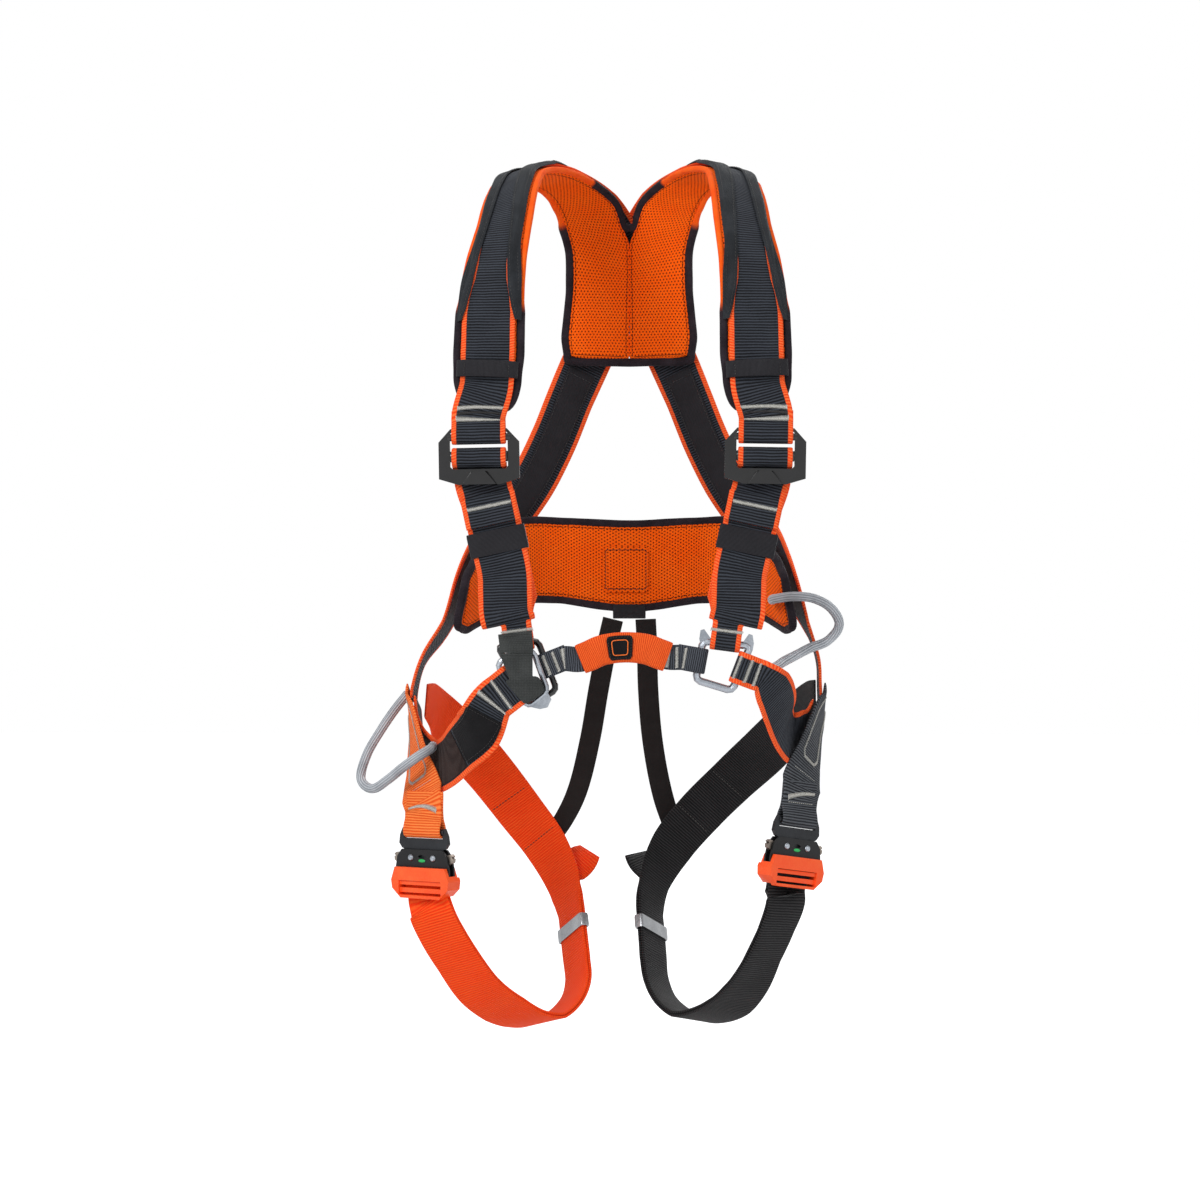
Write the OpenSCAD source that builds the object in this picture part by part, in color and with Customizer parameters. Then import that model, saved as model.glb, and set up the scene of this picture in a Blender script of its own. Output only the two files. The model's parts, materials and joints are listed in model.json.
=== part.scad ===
// Full body work harness, laid out as if worn.
// Millimetres. X runs across the wearer, -Y is the front, Z is up.
// The origin lies midway between the shoulder crests, level with the underside of the pads.
// Webbing is swept along hand placed routes. Each route row holds a point and the way the web faces.

/* [Webbing] */
// Width of the main webbing
web_w = 45; // [30:1:60]
// Thickness of the main webbing
web_t = 2.4; // [1.6:0.1:3.4]
// Free space between neighbouring layers
gap = 0.3; // [0.2:0.1:0.6]
// Width of the web that joins the two front links
bridge_w = 21; // [15:1:30]
// Width of the two elastic risers behind the legs
riser_w = 19; // [12:1:30]
// Width of the flat band on the inner face of each back web
band_w = 26; // [15:1:35]

/* [Pads] */
// Thickness of the yoke pads
yoke_t = 8; // [4:0.5:12]
// Thickness of the lumbar pad
belt_t = 9; // [5:0.5:14]
// Diameter of the rolled edge binding
binding_d = 6; // [4:0.5:9]
// Thickness of the smooth cover over the shoulder webs
cover_t = 1.2; // [0.8:0.1:2]
// Side of the square patch in the middle of the lumbar pad
patch_w = 42; // [30:1:60]

/* [Strap adjusters] */
// Outer width of an adjuster
adj_w = 67; // [60:1:80]
// Thickness of the adjuster side arms
adj_t = 4; // [3:0.5:6]
// Diameter of the sliding bar
adj_bar_d = 9; // [6:0.5:10]
// Diameter of the fixed top bar
adj_top_d = 6; // [4:0.5:8]
// Height of the top bar over the sliding bar
adj_rise = 16; // [15:0.5:22]

/* [Front links] */
// Thickness of the link bars
link_d = 6.5; // [4:0.5:8]
// Thickness of the fabric flap over the left link
flap_t = 1.6; // [1:0.1:3]
// Side of the square patch on the bridge
patch_side = 20; // [12:1:30]

/* [Leg buckles] */
// Width of the orange buckle frame
frame_w = 62; // [58:1:76]
// Width of the D shaped link
dlink_w = 53; // [50:1:62]
// Thickness of the D shaped link
dlink_t = 3.4; // [2.5:0.1:4]
// Free height between the two body plates
core_t = 4.6; // [4:0.1:6]
// Thickness of each body plate
shell = 1.8; // [1:0.1:3]
// Half the distance between the two pivots
pivot_x = 12; // [10:0.5:15]
// Turn of the left leg buckle towards the side of the leg
turn_left = 33; // [0:1:60]
// Turn of the right leg buckle towards the side of the leg
turn_right = 41; // [0:1:60]

/* [Dorsal ring] */
// Diameter of the ring bar
ring_d = 8; // [6:0.5:10]
// Half the width of the ring between bar centres
ring_x = 38.5; // [36:0.5:45]
// Straight drop of the ring before it rounds
ring_drop = 22; // [10:1:40]
// Backward lean of the ring at rest
ring_lean = 4; // [0:1:40]

/* [Gear loops] */
// Diameter of the gear loop tube
loop_d = 8; // [6:0.5:10]

/* [Hidden] */
$fn = 32;

step = 14;
layer = web_t + gap;
half = layer / 2;
on_pad = yoke_t / 2 + 2 * gap + web_t / 2;
on_web = on_pad + web_t / 2 + gap + cover_t / 2;

c_black = [0.09, 0.09, 0.1];
c_web = [0.12, 0.12, 0.13];
c_orange = [0.95, 0.33, 0.06];
c_mesh = [0.93, 0.36, 0.05];
c_bind = [0.13, 0.1, 0.11];
c_silver = [0.62, 0.65, 0.68];
c_tube = [0.55, 0.57, 0.58];

// ---- vector helpers ----
function unit(v) = v / max(norm(v), 0.000001);
function pos(r) = [r[0], r[1], r[2]];
function dir(r) = [r[3], r[4], r[5]];
// Share of the full width at a row, for webs that narrow
function wid(r) = len(r) > 6 ? r[6] : 1;
function narrow(R, k) = [for (r = R) concat(pos(r), dir(r), [k])];
function back(R) = [for (i = [len(R) - 1:-1:0]) R[i]];
function part(R, a, b) = [for (i = [a:b]) R[i]];
function tangent(R, i) = let (n = len(R) - 1, p = pos(R[i]))
  unit((i > 0 ? unit(p - pos(R[i - 1])) : [0, 0, 0]) + (i < n ? unit(pos(R[i + 1]) - p) : [0, 0, 0]));
function curve(a, ta, b, tb, t) = let (l = norm(b - a), s = t * t, c = s * t)
  a * (2 * c - 3 * s + 1) + ta * l * (c - 2 * s + t) + b * (3 * s - 2 * c) + tb * l * (c - s);
// Smooth route through the rows, cut into steps of about the given length
function dense(R, st = step) = [for (i = [0:len(R) - 2])
  let (a = pos(R[i]), b = pos(R[i + 1]), n = max(1, min(8, ceil(norm(b - a) / st))),
    ta = tangent(R, i), tb = tangent(R, i + 1))
  for (k = [0:n - 1]) let (t = k / n) concat(curve(a, ta, b, tb, t),
    dir(R[i]) * (1 - t) + dir(R[i + 1]) * t,
    [wid(R[i]) * (1 - t) + wid(R[i + 1]) * t]), R[len(R) - 1]];
// Outward face of a flat thing whose rows hold its width vector
function face(R, i) = unit(cross(tangent(R, i), dir(R[i])));
function raise(R, h) = [for (i = [0:len(R) - 1]) concat(pos(R[i]) + face(R, i) * h, face(R, i))];
// Rows of point and facing, moved outwards
function lifted(R, h) = [for (i = [0:len(R) - 1]) let (t = tangent(R, i),
  u = unit(cross(dir(R[i]), t)), m = unit(cross(t, u))) concat(pos(R[i]) + m * h, m, [wid(R[i])])];
function strip(R, a0, a1, b0, b1, h) = [for (i = [0:len(R) - 1]) let (k = i / (len(R) - 1),
  a = a0 + (a1 - a0) * k, b = b0 + (b1 - b0) * k)
  concat(pos(R[i]) + dir(R[i]) * (a + b) / 2 + face(R, i) * h, dir(R[i]) * (b - a))];
function rz(p, a) = [p[0] * cos(a) - p[1] * sin(a), p[0] * sin(a) + p[1] * cos(a), p[2]];
function ry(p, a) = [p[0] * cos(a) + p[2] * sin(a), p[1], p[2] * cos(a) - p[0] * sin(a)];
// Rows moved from a local frame: roll about Y, then yaw about Z, then shift
function seat(R, o, yaw, roll) = [for (r = R) concat(o + rz(ry(pos(r), roll), yaw),
  rz(ry(dir(r), roll), yaw), [wid(r)])];
module at(o, yaw, roll) { translate(o) rotate([0, 0, yaw]) rotate([0, roll, 0]) children(); }
module flip() { mirror([1, 0, 0]) children(); }

// ---- solids from sections ----
module loft(S) {
  n = len(S);
  m = len(S[0]);
  sides = [for (i = [0:n - 2]) for (j = [0:m - 1])
    let (a = i * m + j, b = i * m + (j + 1) % m, c = (i + 1) * m + (j + 1) % m, d = (i + 1) * m + j)
    each j < m / 2 ? [[a, c, b], [a, d, c]] : [[a, d, b], [b, d, c]]];
  caps = [for (j = [1:m - 2]) each [[0, j, j + 1], [(n - 1) * m, (n - 1) * m + j + 1, (n - 1) * m + j]]];
  polyhedron(points = [for (s = S) each s], faces = concat(sides, caps), convexity = 10);
}
// Flat web along rows of point and facing
module web(R, w, t, h = 0) {
  loft([for (i = [0:len(R) - 1]) let (tt = tangent(R, i), u = unit(cross(dir(R[i]), tt)),
    m = unit(cross(tt, u)),
    c = pos(R[i]) + m * h, a = u * w * wid(R[i]) / 2, b = m * t / 2) [c - a - b, c + a - b, c + a + b,
      c - a + b]]);
}
// Flat sheet along rows of point and width vector
module sheet(R, t, h = 0) {
  loft([for (i = [0:len(R) - 1]) let (m = face(R, i), c = pos(R[i]) + m * h, a = dir(R[i]) / 2,
    b = m * t / 2)
    [c - a - b, c + a - b, c + a + b, c - a + b]]);
}
// Stuffed pad along rows of point and width vector, crowned in the middle and drawn in at the edges
pad_shape = [[-1, 0], [-0.94, -0.6], [-0.7, -0.93], [0, -1], [0.7, -0.93], [0.94, -0.6],
  [1, 0], [0.94, 0.6], [0.7, 0.93], [0, 1], [-0.7, 0.93], [-0.94, 0.6]];
// The far edge of the first rows is a seam and keeps its full width
module pad(R, t, inset, seam = 0) {
  loft([for (i = [0:len(R) - 1]) let (m = face(R, i), l = norm(dir(R[i])), v = dir(R[i]) / l,
    s = i < seam ? gap : inset, u = v * (l - inset - s) / 2, c = pos(R[i]) + v * (inset - s) / 2)
    [for (q = pad_shape) c + u * q[0] + m * q[1] * t / 2]]);
}
// Round cord along points
module cord(P, d, ref, k = 8) {
  R = [for (p = P) concat(pos(p), ref)];
  loft([for (i = [0:len(R) - 1]) let (tt = tangent(R, i), u = unit(cross(ref, tt)), m = unit(cross(tt,
    u)))
    [for (j = [0:k - 1]) pos(R[i]) + (u * cos(360 * j / k) + m * sin(360 * j / k)) * d / 2]]);
}
// Points round a closed loop with its corners eased
function eased(P, r) = [for (i = [0:len(P) - 1]) let (n = len(P), c = P[i],
  a = unit(P[(i + n - 1) % n] - c), b = unit(P[(i + 1) % n] - c)) each [c + a * r,
    c + (a + b) * r * 0.3, c + b * r]];
// Closed loop of round bar in the XZ plane
module hoop(P, d, k = 12) {
  R = eased(P, 4);
  n = len(R);
  pts = [for (i = [0:n - 1]) let (tt = unit(unit(R[i] - R[(i + n - 1) % n]) + unit(R[(i + 1) % n] - R[i])),
    u = unit(cross([0, 1, 0], tt))) for (j = [0:k - 1]) R[i] + (u * cos(360 * j / k) + [0,
      sin(360 * j / k), 0]) * d / 2];
  polyhedron(points = pts, faces = [for (i = [0:n - 1]) for (j = [0:k - 1])
    let (e = (i + 1) % n, f = (j + 1) % k, a = i * k + j, b = i * k + f, c = e * k + f, g = e * k + j)
    each [[a, c, b], [a, g, c]]], convexity = 10);
}
module rod(a, b, d) {
  v = b - a;
  translate(a) rotate([0, acos(v[2] / norm(v)), atan2(v[1], v[0])]) cylinder(d = d, h = norm(v));
}
module knob(p, d) { translate(p) sphere(d = d, $fn = 24); }
module block(x0, x1, y0, y1, z0, z1) { translate([x0, y0, z0]) cube([x1 - x0, y1 - y0, z1 - z0]); }
// Plate in the local XZ plane between two depths
module plate(P, y0, y1) { translate([0, y1, 0]) rotate([90, 0, 0]) linear_extrude(y1 - y0) polygon(P); }
// Web eye round a bar: in on the outer side, round the bar, out on the inner side.
// o bar centre, D away from the bar, O outwards, q radius of the web round the bar
function eye(o, D, O, q, la, lb, g) = let (r = q * 1.06) [
  concat(o + D * la + O * g, O), concat(o + D * r * 2.6 + O * g, O),
    concat(o + D * r * 1.1 + O * r * 0.85, O),
  concat(o + O * r, O), concat(o + (O - D) * r * 0.707, unit(O - D)), concat(o - D * r, -D),
  concat(o - (O + D) * r * 0.707, unit(-O - D)), concat(o - O * r, -O),
  concat(o + D * r * 1.1 - O * r * 0.85, -O), concat(o + D * r * 2.6 - O * g, -O),
    concat(o + D * lb - O * g, -O)];

// ---- yoke pads and shoulder webs ----
// Left half of the yoke from the bottom of the back to the bottom of the front: centre and width vector
yoke_rows = [[-29, 100, -139, 58, 3, -3], [-30, 103, -122, 60, 6, 0], [-28, 106, -78, 56, 10, 0],
  [-28, 102, -48, 56, 18, -8], [-31, 93, -27, 60, 26, -6], [-39, 76, -4, 56, 26, 8],
  [-56, 48, 10, 44, 16, 11], [-75, 18, 13, 43, -6, 10], [-90, -10, 8, 43, -22, 8],
  [-96, -50, -10, 44, -22, 6], [-101, -86, -46, 46, -18, 4], [-107, -106, -84, 50, -12, 2],
  [-110, -116, -124, 54, -6, 1], [-111, -120, -158, 55, -3, -1], [-112, -121, -184, 51, -2, -3],
  [-112, -121, -198, 40, -2, -3]];
yoke = dense(yoke_rows, 14);
yoke_over = dense(part(yoke_rows, 6, 14), 14);
adj_o = [-118.5, -126, -243];
adj_roll = -1;
// From the pad of the left shoulder back over the crossing towards the right hip
cross_rows = [[-30, 109, -2, -0.2, 0.7, 0.5], [-20, 119.5, -14, 0, 1, 0.3], [-10, 121.8, -32, 0, 1, 0],
  [0, 121.8, -50, 0, 1, 0], [14, 121.8, -84, 0, 1, 0], [27, 117.5, -112, 0, 1, 0], [40, 111, -142, 0.2,
    1, 0]];
side_rows = [[54, 108, -175, 0.4, 1, 0], [70, 106, -215, 0.4, 1, 0], [88, 100, -252, 0.45, 1, 0],
  [109, 82, -286, 0.6, 0.8, 0], [131, 42, -322, 0.9, 0.5, 0], [146, 4, -353, 1, 0.2, 0.1],
  [159, -18, -388, 1, 0, 0.2]];
hip_right = [[167, -22, -415, 1, 0, 0.1], [168, -24, -438, 1, 0, 0], [168.4, -26, -449, 1, 0, 0]];
hip_left = [[176, -28, -415, 1, 0, 0.3], [183, -31, -440, 1, 0, 0.1], [183.6, -33, -450, 1, 0, 0]];
web_down = eye(adj_o + ry([0, 0, adj_rise], adj_roll), ry([0, 0, 1], adj_roll), [0, -1, 0],
  adj_top_d / 2 + gap + web_t / 2, 16, 22, half);
// The web rides a little higher on the crest of the shoulder
over_pad = [for (r = raise(yoke_over, on_pad)) r + (r[1] > 10 ? 0.8 : 0) * [0, dir(r)[1], dir(r)[2], 0,
  0, 0]];
function raised_cross(h) = [for (r = cross_rows) r + [0, r[4], r[5], 0, 0, 0] * h * 1.25];
function shoulder_route(hip, h) = dense(concat(back(concat(side_rows, hip)),
  back(raised_cross(h)), over_pad, web_down), step);

module yoke_pad_base() { pad(yoke, yoke_t, pad_inset, neck_i + 1); }
function edge(R, s, inset, a, b) = [for (i = [a:b]) let (l = norm(dir(R[i])))
  concat(pos(R[i]) + dir(R[i]) / l * (l / 2 - inset) * s, dir(R[i]))];
neck_i = 10;
pad_inset = binding_d * 0.84;
module yoke_binding_base() {
  n = len(yoke) - 1;
  inset = binding_d * 0.2;
  cord(concat([[-3.4, 102, -143.9], [-28, 101, -143.4], [-52, 99.8, -142.8], [-56.8, 99, -141]],
    edge(yoke, -1, inset, 0, n), [[-126, -120.4, -200.6], [-112, -121, -202], [-98, -121.8, -202.8]],
    back([for (r = edge(yoke, 1, inset, neck_i, n)) if (r[0] < -3.4) r])), binding_d, [0.3, -1, 0.25], 6);
}
module cover_base() {
  R = yoke_over;
  m = 8;
  n = max([for (i = [0:len(R) - 1]) if (R[i][2] > -130) i]);
  h = on_web + 1;
  sheet(strip(part(R, 2, m), -0.42, -0.42, 0.42, 0.42, h), cover_t);
  sheet(strip(part(R, m - 1, n), -0.42, -0.44, -0.14, -0.41, h), cover_t);
  sheet(strip(part(R, m - 1, n), 0.14, 0.41, 0.42, 0.44, h), cover_t);
}
keeper_i = min([for (i = [0:len(yoke_over) - 1]) if (yoke_over[i][2] < -158) i]);
module shoulder_keeper_base() {
  R = yoke_over;
  c = pos(R[keeper_i]);
  u = unit(dir(R[keeper_i]));
  n = face(R, keeper_i);
  h = on_pad + web_t / 2 + gap + cover_t / 2;
  low = yoke_t / 2 + cover_t;
  reach = web_w / 2 + 3.1;
  web([concat(c - u * reach + n * low, n - u), concat(c - u * (reach - 1.8) + n * h, n - u * 0.3),
    concat(c + u * (reach - 1.8) + n * h, n + u * 0.3), concat(c + u * reach + n * low, n + u)], 14,
      cover_t);
}

// Part of a shoulder route that lies on the back
function band_rows(R) = [for (r = lifted(R, -half - 1.1)) if (r[1] > 70 && r[2] < -150 && r[2] > -296) r];

// ---- strap adjusters: the sliding bar is the local origin ----
arm = (adj_w - web_w) / 2 - 1.5;
bar_play = 1.5;
sill = adj_bar_d / 2 + gap + web_t + gap + bar_play + 1.4;
sill_end = sill + 13;
module adjuster_arm() {
  x = adj_w / 2;
  plate([[x, 2 - sill], [x, 12], [x - arm - 0.5, adj_rise + 7], [x - arm - 4, adj_rise + 7], [x - arm,
    adj_rise + 3],
    [x - arm, 2 - sill]], -adj_t / 2, adj_t / 2);
}
module adjuster_base() {
  x = adj_w / 2;
  difference() {
    union() {
      adjuster_arm();
      flip() adjuster_arm();
      plate([[-x, 2.2 - sill], [arm - x, 2.2 - sill], [arm + 2 - x, -sill], [x - arm - 2, -sill],
        [x - arm, 2.2 - sill], [x, 2.2 - sill], [x, -sill - 8], [x - 16, -sill_end], [16 - x, -sill_end],
        [-x, -sill - 8]], -adj_t / 2, adj_t / 2);
      rod([arm - 2 - x, 0, adj_rise], [x - arm + 2, 0, adj_rise], adj_top_d);
      intersection() {
        translate([0, -adj_t / 2, -sill_end]) cylinder(d1 = 30, d2 = 14, h = 11);
        block(-16, 16, -adj_t / 2 - 5, 0, -sill_end, -sill);
      }
    }
    block(arm - 4 - x, arm + 1 - x, -1.3, 1.3, -6, 5);
    block(x - arm - 1, x - arm + 4, -1.3, 1.3, -6, 5);
  }
}
module adjuster_bar_base() {
  x = adj_w / 2 - arm - gap;
  rod([-x, 0, 0], [x, 0, 0], adj_bar_d);
  block(-x - 3, 1 - x, -1.1, 1.1, -3.5, 4);
  block(x - 1, x + 3, -1.1, 1.1, -3.5, 4);
}

// ---- lower chest straps: rows of distance down, height outwards and facing ----
low_d = unit([0.21, 0, -0.977]);
low_u = unit([0.977, 0, 0.21]);
low_o = unit(cross(low_d, low_u));
bar_r = adj_bar_d / 2 + gap + web_t / 2;
main_h = -bar_r - gap;
tail_h = main_h + layer + 0.1;
turn_h = tail_h + layer + 0.1;
link_c = [-85.5, -126, -398];
fold_s = 140;
tail_t = 4.6;
function low(q) = adj_o + low_d * q[0] + low_o * q[1] + low_u * (len(q) > 4 ? q[4] : 0);
function lows(Q) = [for (q = Q) concat(low(q), unit(low_o * q[3] + low_d * q[2]))];
neck = 0.56;
// Rows in the frame of the adjuster: sideways, height, distance outwards and the matching facing
function near(Q) = seat([for (q = Q) [q[0], -q[2], q[1], 0, -q[4], q[3]]], adj_o, 0, adj_roll);
chest_rows = concat(
  back(narrow(eye(link_c, unit([-0.13, -0.04, 0.99]), [0, -1, 0], link_d / 2 + gap + web_t / 2, 16, 28,
    half), neck)),
  lows([[124, main_h, 0, 1], [100, main_h, 0, 1], [72, main_h, 0, 1], [46, main_h, 0, 1]]),
  near([[1, -20, main_h, 0, 1], [0, -7, main_h, 0, 1], [0, 0, -bar_r, 0, -1], [0, 4.55, -4.55, 0.7, -0.7],
    [0, bar_r + 0.1, 0, 1, 0], [0, 4.55, 4.55, 0.7, 0.7], [0, 0, bar_r + 0.1, 0, 1], [0, -5.4, 4.9,
      -0.6, 0.8],
    [0, -7.9, 0.8, -0.95, 0.3], [0, -9, -3.3, -0.6, 0.8], [1, -sill - 2.6, tail_h - 0.1, 0, 1]]),
  lows([[46, tail_h, 0, 1], [72, tail_h, 0, 1], [100, tail_h, 0, 1], [120, tail_h, 0, 1, -3],
    [fold_s - 8, tail_h + 0.8, 0, 1, -5], [fold_s - 2, tail_h + 1.4, 0.6, -0.8, -5],
    [fold_s, tail_h + 4.6, 1, 0, -5], [fold_s - 2, tail_h + 7.6, 0.6, 0.8, -5], [fold_s - 9, tail_h + 8,
      0, 1, -5],
    [118, turn_h + 2.4, 0, 1, -3], [100, turn_h, 0, 1], [72, turn_h, 0, 1], [34, turn_h, 0, 1]]));
module chest_strap_base() { web(dense(chest_rows), web_w, web_t); }
module chest_tail_base() {
  h = turn_h + half + tail_t / 2;
  web(dense(lows([[33, h, 0, 1], [45, h, 0, 1], [58, h, 0, 1]])), web_w + 1, tail_t);
}
keep_s = 72;
keep_len = 20;
module seat_low(s, h) { translate(low([s, h])) multmatrix([[low_u[0], -low_o[0], -low_d[0], 0],
  [low_u[1], -low_o[1], -low_d[1], 0], [low_u[2], -low_o[2], -low_d[2], 0], [0, 0, 0, 1]]) children(); }
module chest_keeper_base() {
  inner = (turn_h - main_h) + web_t + 2 * gap + 0.2;
  seat_low(keep_s, (turn_h + main_h) / 2) difference() {
    block(-web_w / 2 - 2, web_w / 2 + 2, -inner / 2 - cover_t, inner / 2 + cover_t, -keep_len / 2,
      keep_len / 2);
    block(-web_w / 2 - 0.8, web_w / 2 + 0.8, -inner / 2, inner / 2, -keep_len, keep_len);
  }
}

// ---- front links ----
right_tl = [67, -126, -396];
right_tr = [106, -126, -400];
right_br = [91, -126, -437];
right_bl = [61, -126, -428];
module link_horn() { plate([[3, 2], [2, 9], [-1, 10], [-6, 3], [-6, -2], [-3, -4], [2, -4]], -2, 2); }
module link_ring_right_base() {
  hoop([right_tl, right_tr, right_br, right_bl], link_d);
  translate(right_tl) flip() link_horn();
  translate(right_tr) link_horn();
}
ring_tl = [-103, -126, -400.5];
ring_tr = [-70, -126, -395.5];
ring_br = [-54, -126, -436];
ring_bl = [-76, -126, -450];
module link_ring_left_base() { hoop([ring_tl, ring_tr, ring_br, ring_bl], link_d - 1); }
hook_y = -135.5;
hook_d = [-77, hook_y, -450];
hook_e = [-103, hook_y, -416];
module link_hook_left_base() {
  hoop([[-94, hook_y, -407], [-73, hook_y, -404], [-61, hook_y, -437], hook_d, hook_e], 5);
  // Lip that reaches under the lower bar of the left ring
  plate([[-62, -436], [-58, -444], [-61, -450.5], [-67, -452], [-76, -450]], hook_y - 1.8, hook_y + 1.8);
  rod([-63.2, hook_y, -447.9], [-63.2, -122, -447.9], 3.6);
}
flap_y = -142.5;
hem_d = 2.4;
hem_z = -405.7 - hem_d / 2;
module link_flap_base() {
  plate([[-100, hem_z], [-73, hem_z], [-68, -424], [-62, -437], [-79, -449], [-97, -428]],
    flap_y - flap_t / 2, flap_y + flap_t / 2);
  // Rolled hem that the flap turns on
  rod([-100, flap_y, hem_z], [-73, flap_y, hem_z], hem_d);
}
module flap_head_base() {
  web([[-86.5, flap_y, -405.6, 0, -1, 0], [-86.5, flap_y + 0.6, -399, 0, -1, 0], [-88, -137, -389, 0,
    -0.8, 0.5]],
    28, flap_t);
}

// ---- bridge between the links ----
bridge_l = (ring_tr + ring_br) / 2;
bridge_r = (right_tl + right_bl) / 2;
eye_r = link_d / 2 + gap + web_t / 2;
bridge_mid = [[-34, -132, -411, 0, -1, 0], [-18, -134, -404, 0, -1, 0], [2, -135, -401, 0, -1, 0],
  [22, -134, -403, 0, -1, 0], [38, -132, -409, 0, -1, 0]];
bridge_rows = concat(back(eye(bridge_l, unit([0.93, -0.12, 0.37]), [0, -1, 0], eye_r, 14, 19, half)),
  bridge_mid,
  eye(bridge_r, unit([-0.98, -0.1, 0.18]), [0, -1, 0], eye_r, 14, 19, half));
module bridge_web_base() { web(dense(bridge_rows), bridge_w, web_t); }
module bridge_sleeve_base() {
  R = [for (r = dense(bridge_rows)) if (abs(r[0] - 1) < 42 && r[1] < -129.5) r];
  n = len(R) - 1;
  difference() {
    web(R, bridge_w + 4.5, web_t + 3.6);
    web(concat([concat(pos(R[0]) * 2 - pos(R[1]), dir(R[0]))], R, [concat(pos(R[n]) * 2 - pos(R[n - 1]),
      dir(R[n]))]),
      bridge_w + 0.9, web_t + 0.8);
  }
}
module bridge_patch_base() {
  r = 3;
  a = patch_side / 2 - r;
  translate([-1, -138.4, -401.5]) rotate([90, 0, 0]) {
    for (x = [-a, a]) for (y = [-a, a]) translate([x, y, 0]) cylinder(r = r, h = cover_t);
    translate([-a - r, -a, 0]) cube([2 * (a + r), 2 * a, cover_t]);
    translate([-a, -a - r, 0]) cube([2 * a, 2 * (a + r), cover_t]);
  }
}

// ---- waist straps ----
waist_left_rows = concat(back(narrow(eye((hook_d + hook_e) / 2, unit([-0.79, 0.1, -0.61]), [0, -1, 0],
  2.5 + gap + web_t / 2, 20, 20, half), 0.8)),
  [[-120, -125, -470, -0.2, -1, 0], [-134, -112, -484, -0.6, -0.8, 0], [-148, -93, -498, -0.8, -0.6, 0],
  [-160, -72, -503, -0.9, -0.4, 0], [-169, -52, -492, -1, -0.1, 0], [-177.5, -38, -470, -1, 0, 0],
  [-180.4, -32, -450, -1, 0, 0]]);
waist_right_rows = concat(back(narrow(eye((right_tr + right_br) / 2, unit([0.93, 0.06, -0.36]),
  [0, -1, 0], eye_r, 20, 13.6, half), 0.6)),
  [[125, -118, -435, 0.4, -1, 0, 0.84], [131, -104, -449, 0.6, -0.8, 0, 0.96],
  [137, -80, -472, 0.9, -0.5, 0], [144, -62, -480, 0.95, -0.3, 0], [154, -46, -472, 1, -0.1, 0, 0.97],
  [161.2, -36, -457, 1, 0, 0, 0.88]]);
waist_left = dense(waist_left_rows);
module waist_label_base() {
  web([for (r = lifted(waist_left, web_t / 2 + 4 * gap + 0.7))
    if (r[0] < -112 && r[0] > -135 && r[1] < -110 && r[4] < 0) r], 34, 1.4);
}

// ---- lumbar pad ----
belt_half = [[-140, -36, -362, -8, -9, -48], [-136, -20, -358, -8, -10, -62], [-120, 26, -342, -4, -10,
  -72],
  [-97, 64, -327, 2, -4, -74], [-62, 92, -326, 0, 0, -74], [-30, 102, -329, 0, 0, -78], [0, 104, -331,
    0, 0, -80]];
belt = dense(concat(belt_half, [for (i = [len(belt_half) - 2:-1:0]) let (r = belt_half[i])
  [-r[0], r[1], r[2], -r[3], r[4], r[5]]]), 14);
module belt_pad_base() { pad(belt, belt_t, pad_inset); }
module belt_binding_base() {
  n = len(belt) - 1;
  m = floor(n / 2);
  inset = binding_d * 0.2;
  tip = [[144.2, -43.4, -382], [141, -40.2, -363], [137.4, -36.2, -343]];
  cord(concat(edge(belt, 1, inset, m, n), tip, back(edge(belt, -1, inset, 0, n)),
    [for (i = [2:-1:0]) [-tip[i][0], tip[i][1], tip[i][2]]], edge(belt, 1, inset, 0, m - 1)),
    binding_d, [0.1, -1, 0.15], 6);
}
module belt_patch_base() {
  sheet([for (x = [-24, -3, 18]) [x, 104 - abs(x) / 24, -334, 0, 0, -patch_w]], cover_t,
    -(belt_t + cover_t) / 2 - gap);
}
module belt_tab_base() {
  web([[0, 100, -366, 0, -1, 0], [0, 100.2, -374, 0, -1, 0], [0, 104, -378.5, 0, 0, -1],
    [0, 107.2, -374, 0, 1, 0], [0, 109.4, -366, 0, 1, 0]], 30, 1.2);
}
riser_left_rows = [[-15, 104, -379.8, 0, 1, 0], [-21, 116, -404, 0, 1, 0], [-29, 121, -445, 0, 1, 0],
  [-37, 120, -492, 0, 1, 0], [-49, 112, -540, 0.2, 1, 0], [-60, 104.5, -563, 0.4, 0.9, 0.1], [-73.3, 98,
    -582, 0.45, 0.9, 0]];
riser_right_rows = [[15, 104, -379.8, 0, 1, 0], [16, 116, -404, 0, 1, 0], [17, 121, -445, 0, 1, 0],
  [21, 121, -492, 0, 1, 0], [30, 116, -540, -0.1, 1, 0], [38, 109.4, -565, -0.4, 0.9, 0.1], [45.3,
    104.6, -583, -0.45, 0.87, 0]];

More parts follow.
